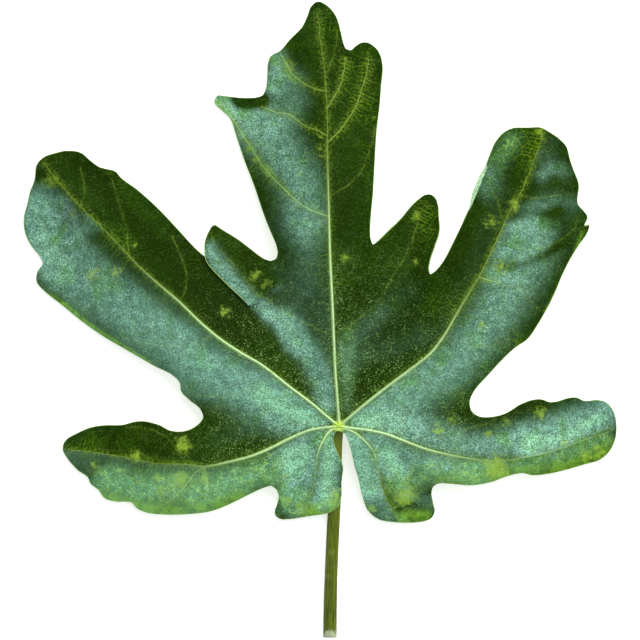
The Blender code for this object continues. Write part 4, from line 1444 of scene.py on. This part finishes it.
def make_floor():
    """The floor, just below the leaf."""
    corners = [(x * FLOOR_REACH, y * FLOOR_REACH, 0) for x, y in ((-1, -1), (1, -1), (1, 1), (-1, 1))]
    floor = new_object("floor", corners, [(0, 1, 2, 3)])
    floor.location.z = -FLOOR_DROP
    floor.data.materials.append(floor_material())


def make_sky(scene):
    """A pale sky, brighter at its lower rim, which the leaf's gloss doesn't show."""
    world = bpy.data.worlds.new("world")
    world.use_nodes = True
    tree = world.node_tree
    coordinates = tree.nodes.new("ShaderNodeTexCoord")
    split = tree.nodes.new("ShaderNodeSeparateXYZ")
    tree.links.new(coordinates.outputs["Generated"], split.inputs[0])
    ramp = tree.nodes.new("ShaderNodeMapRange")
    ramp.interpolation_type = "SMOOTHSTEP"
    tree.links.new(split.outputs["Z"], ramp.inputs["Value"])
    for name, number in zip(("From Min", "From Max", "To Min", "To Max"), SKY_HEIGHTS + SKY_STRENGTHS):
        ramp.inputs[name].default_value = number
    background = tree.nodes["Background"]
    background.inputs["Color"].default_value = (*SKY_COLOUR, 1.0)
    tree.links.new(ramp.outputs["Result"], background.inputs["Strength"])
    world.cycles_visibility.glossy = False
    scene.world = world


class Lamp(NamedTuple):
    """A soft rectangular light: tilt off vertical in degrees, distance and size in metres, and colour."""
    tilt: float
    distance: float
    size: tuple
    colour: tuple


# Camera, floor, sky and lights, in metres, degrees and watts
CAMERA_HEIGHT = 1.6
CAMERA_CLIP = 20
PAGE_HEIGHT = 0.005
SENSOR = 36.0
FLOOR_REACH = 3
FLOOR_DROP = 0.0002
FLOOR_GLOW = 0.6
SKY_HEIGHTS = (0.15, 0.6)
SKY_STRENGTHS = (1.0, 0.4)
SKY_COLOUR = (0.95, 0.97, 1.0)
WINDOW = Lamp(42, 2.2, (0.6, 1.5), (0.50, 1.0, 0.80))
WINDOW_PANELS = ((205, 7), (224, 18), (245, 21), (267, 21), (289, 21))
KEY = Lamp(46, 2.4, (2.6, 2.6), (0.98, 1.0, 0.95))
KEY_COMPASS = 55
KEY_POWER = 85


def make_light(scene, name, lamp, compass, power):
    """A light that looks at the leaf from a compass angle, counted from +X."""
    data = bpy.data.lights.new(name, "AREA")
    data.shape = "RECTANGLE"
    data.size, data.size_y = lamp.size
    data.energy = power
    data.color = lamp.colour
    light = bpy.data.objects.new(name, data)
    scene.collection.objects.link(light)
    tilt, compass = math.radians(lamp.tilt), math.radians(compass)
    away = Vector((math.sin(tilt) * math.cos(compass), math.sin(tilt) * math.sin(compass), math.cos(tilt)))
    light.location = away * lamp.distance
    light.rotation_euler = away.to_track_quat("Z", "Y").to_euler()
    return light


def make_stage():
    """The camera, the floor, the sky and the lights: a window that only gloss shows, and a key light."""
    scene = bpy.context.scene
    scene.view_settings.view_transform = "Standard"
    make_camera(scene)
    make_floor()
    make_sky(scene)
    for compass, power in WINDOW_PANELS:
        make_light(scene, "window", WINDOW, compass, power).visible_diffuse = False
    make_light(scene, "key", KEY, KEY_COMPASS, KEY_POWER).visible_glossy = False


leaf = Leaf()
dress(make_blade(leaf), "blade", "leaf_green", upper_material(), under_material())
dress(make_stalk(leaf), "petiole", "stalk_olive", stalk_material())
make_stage()
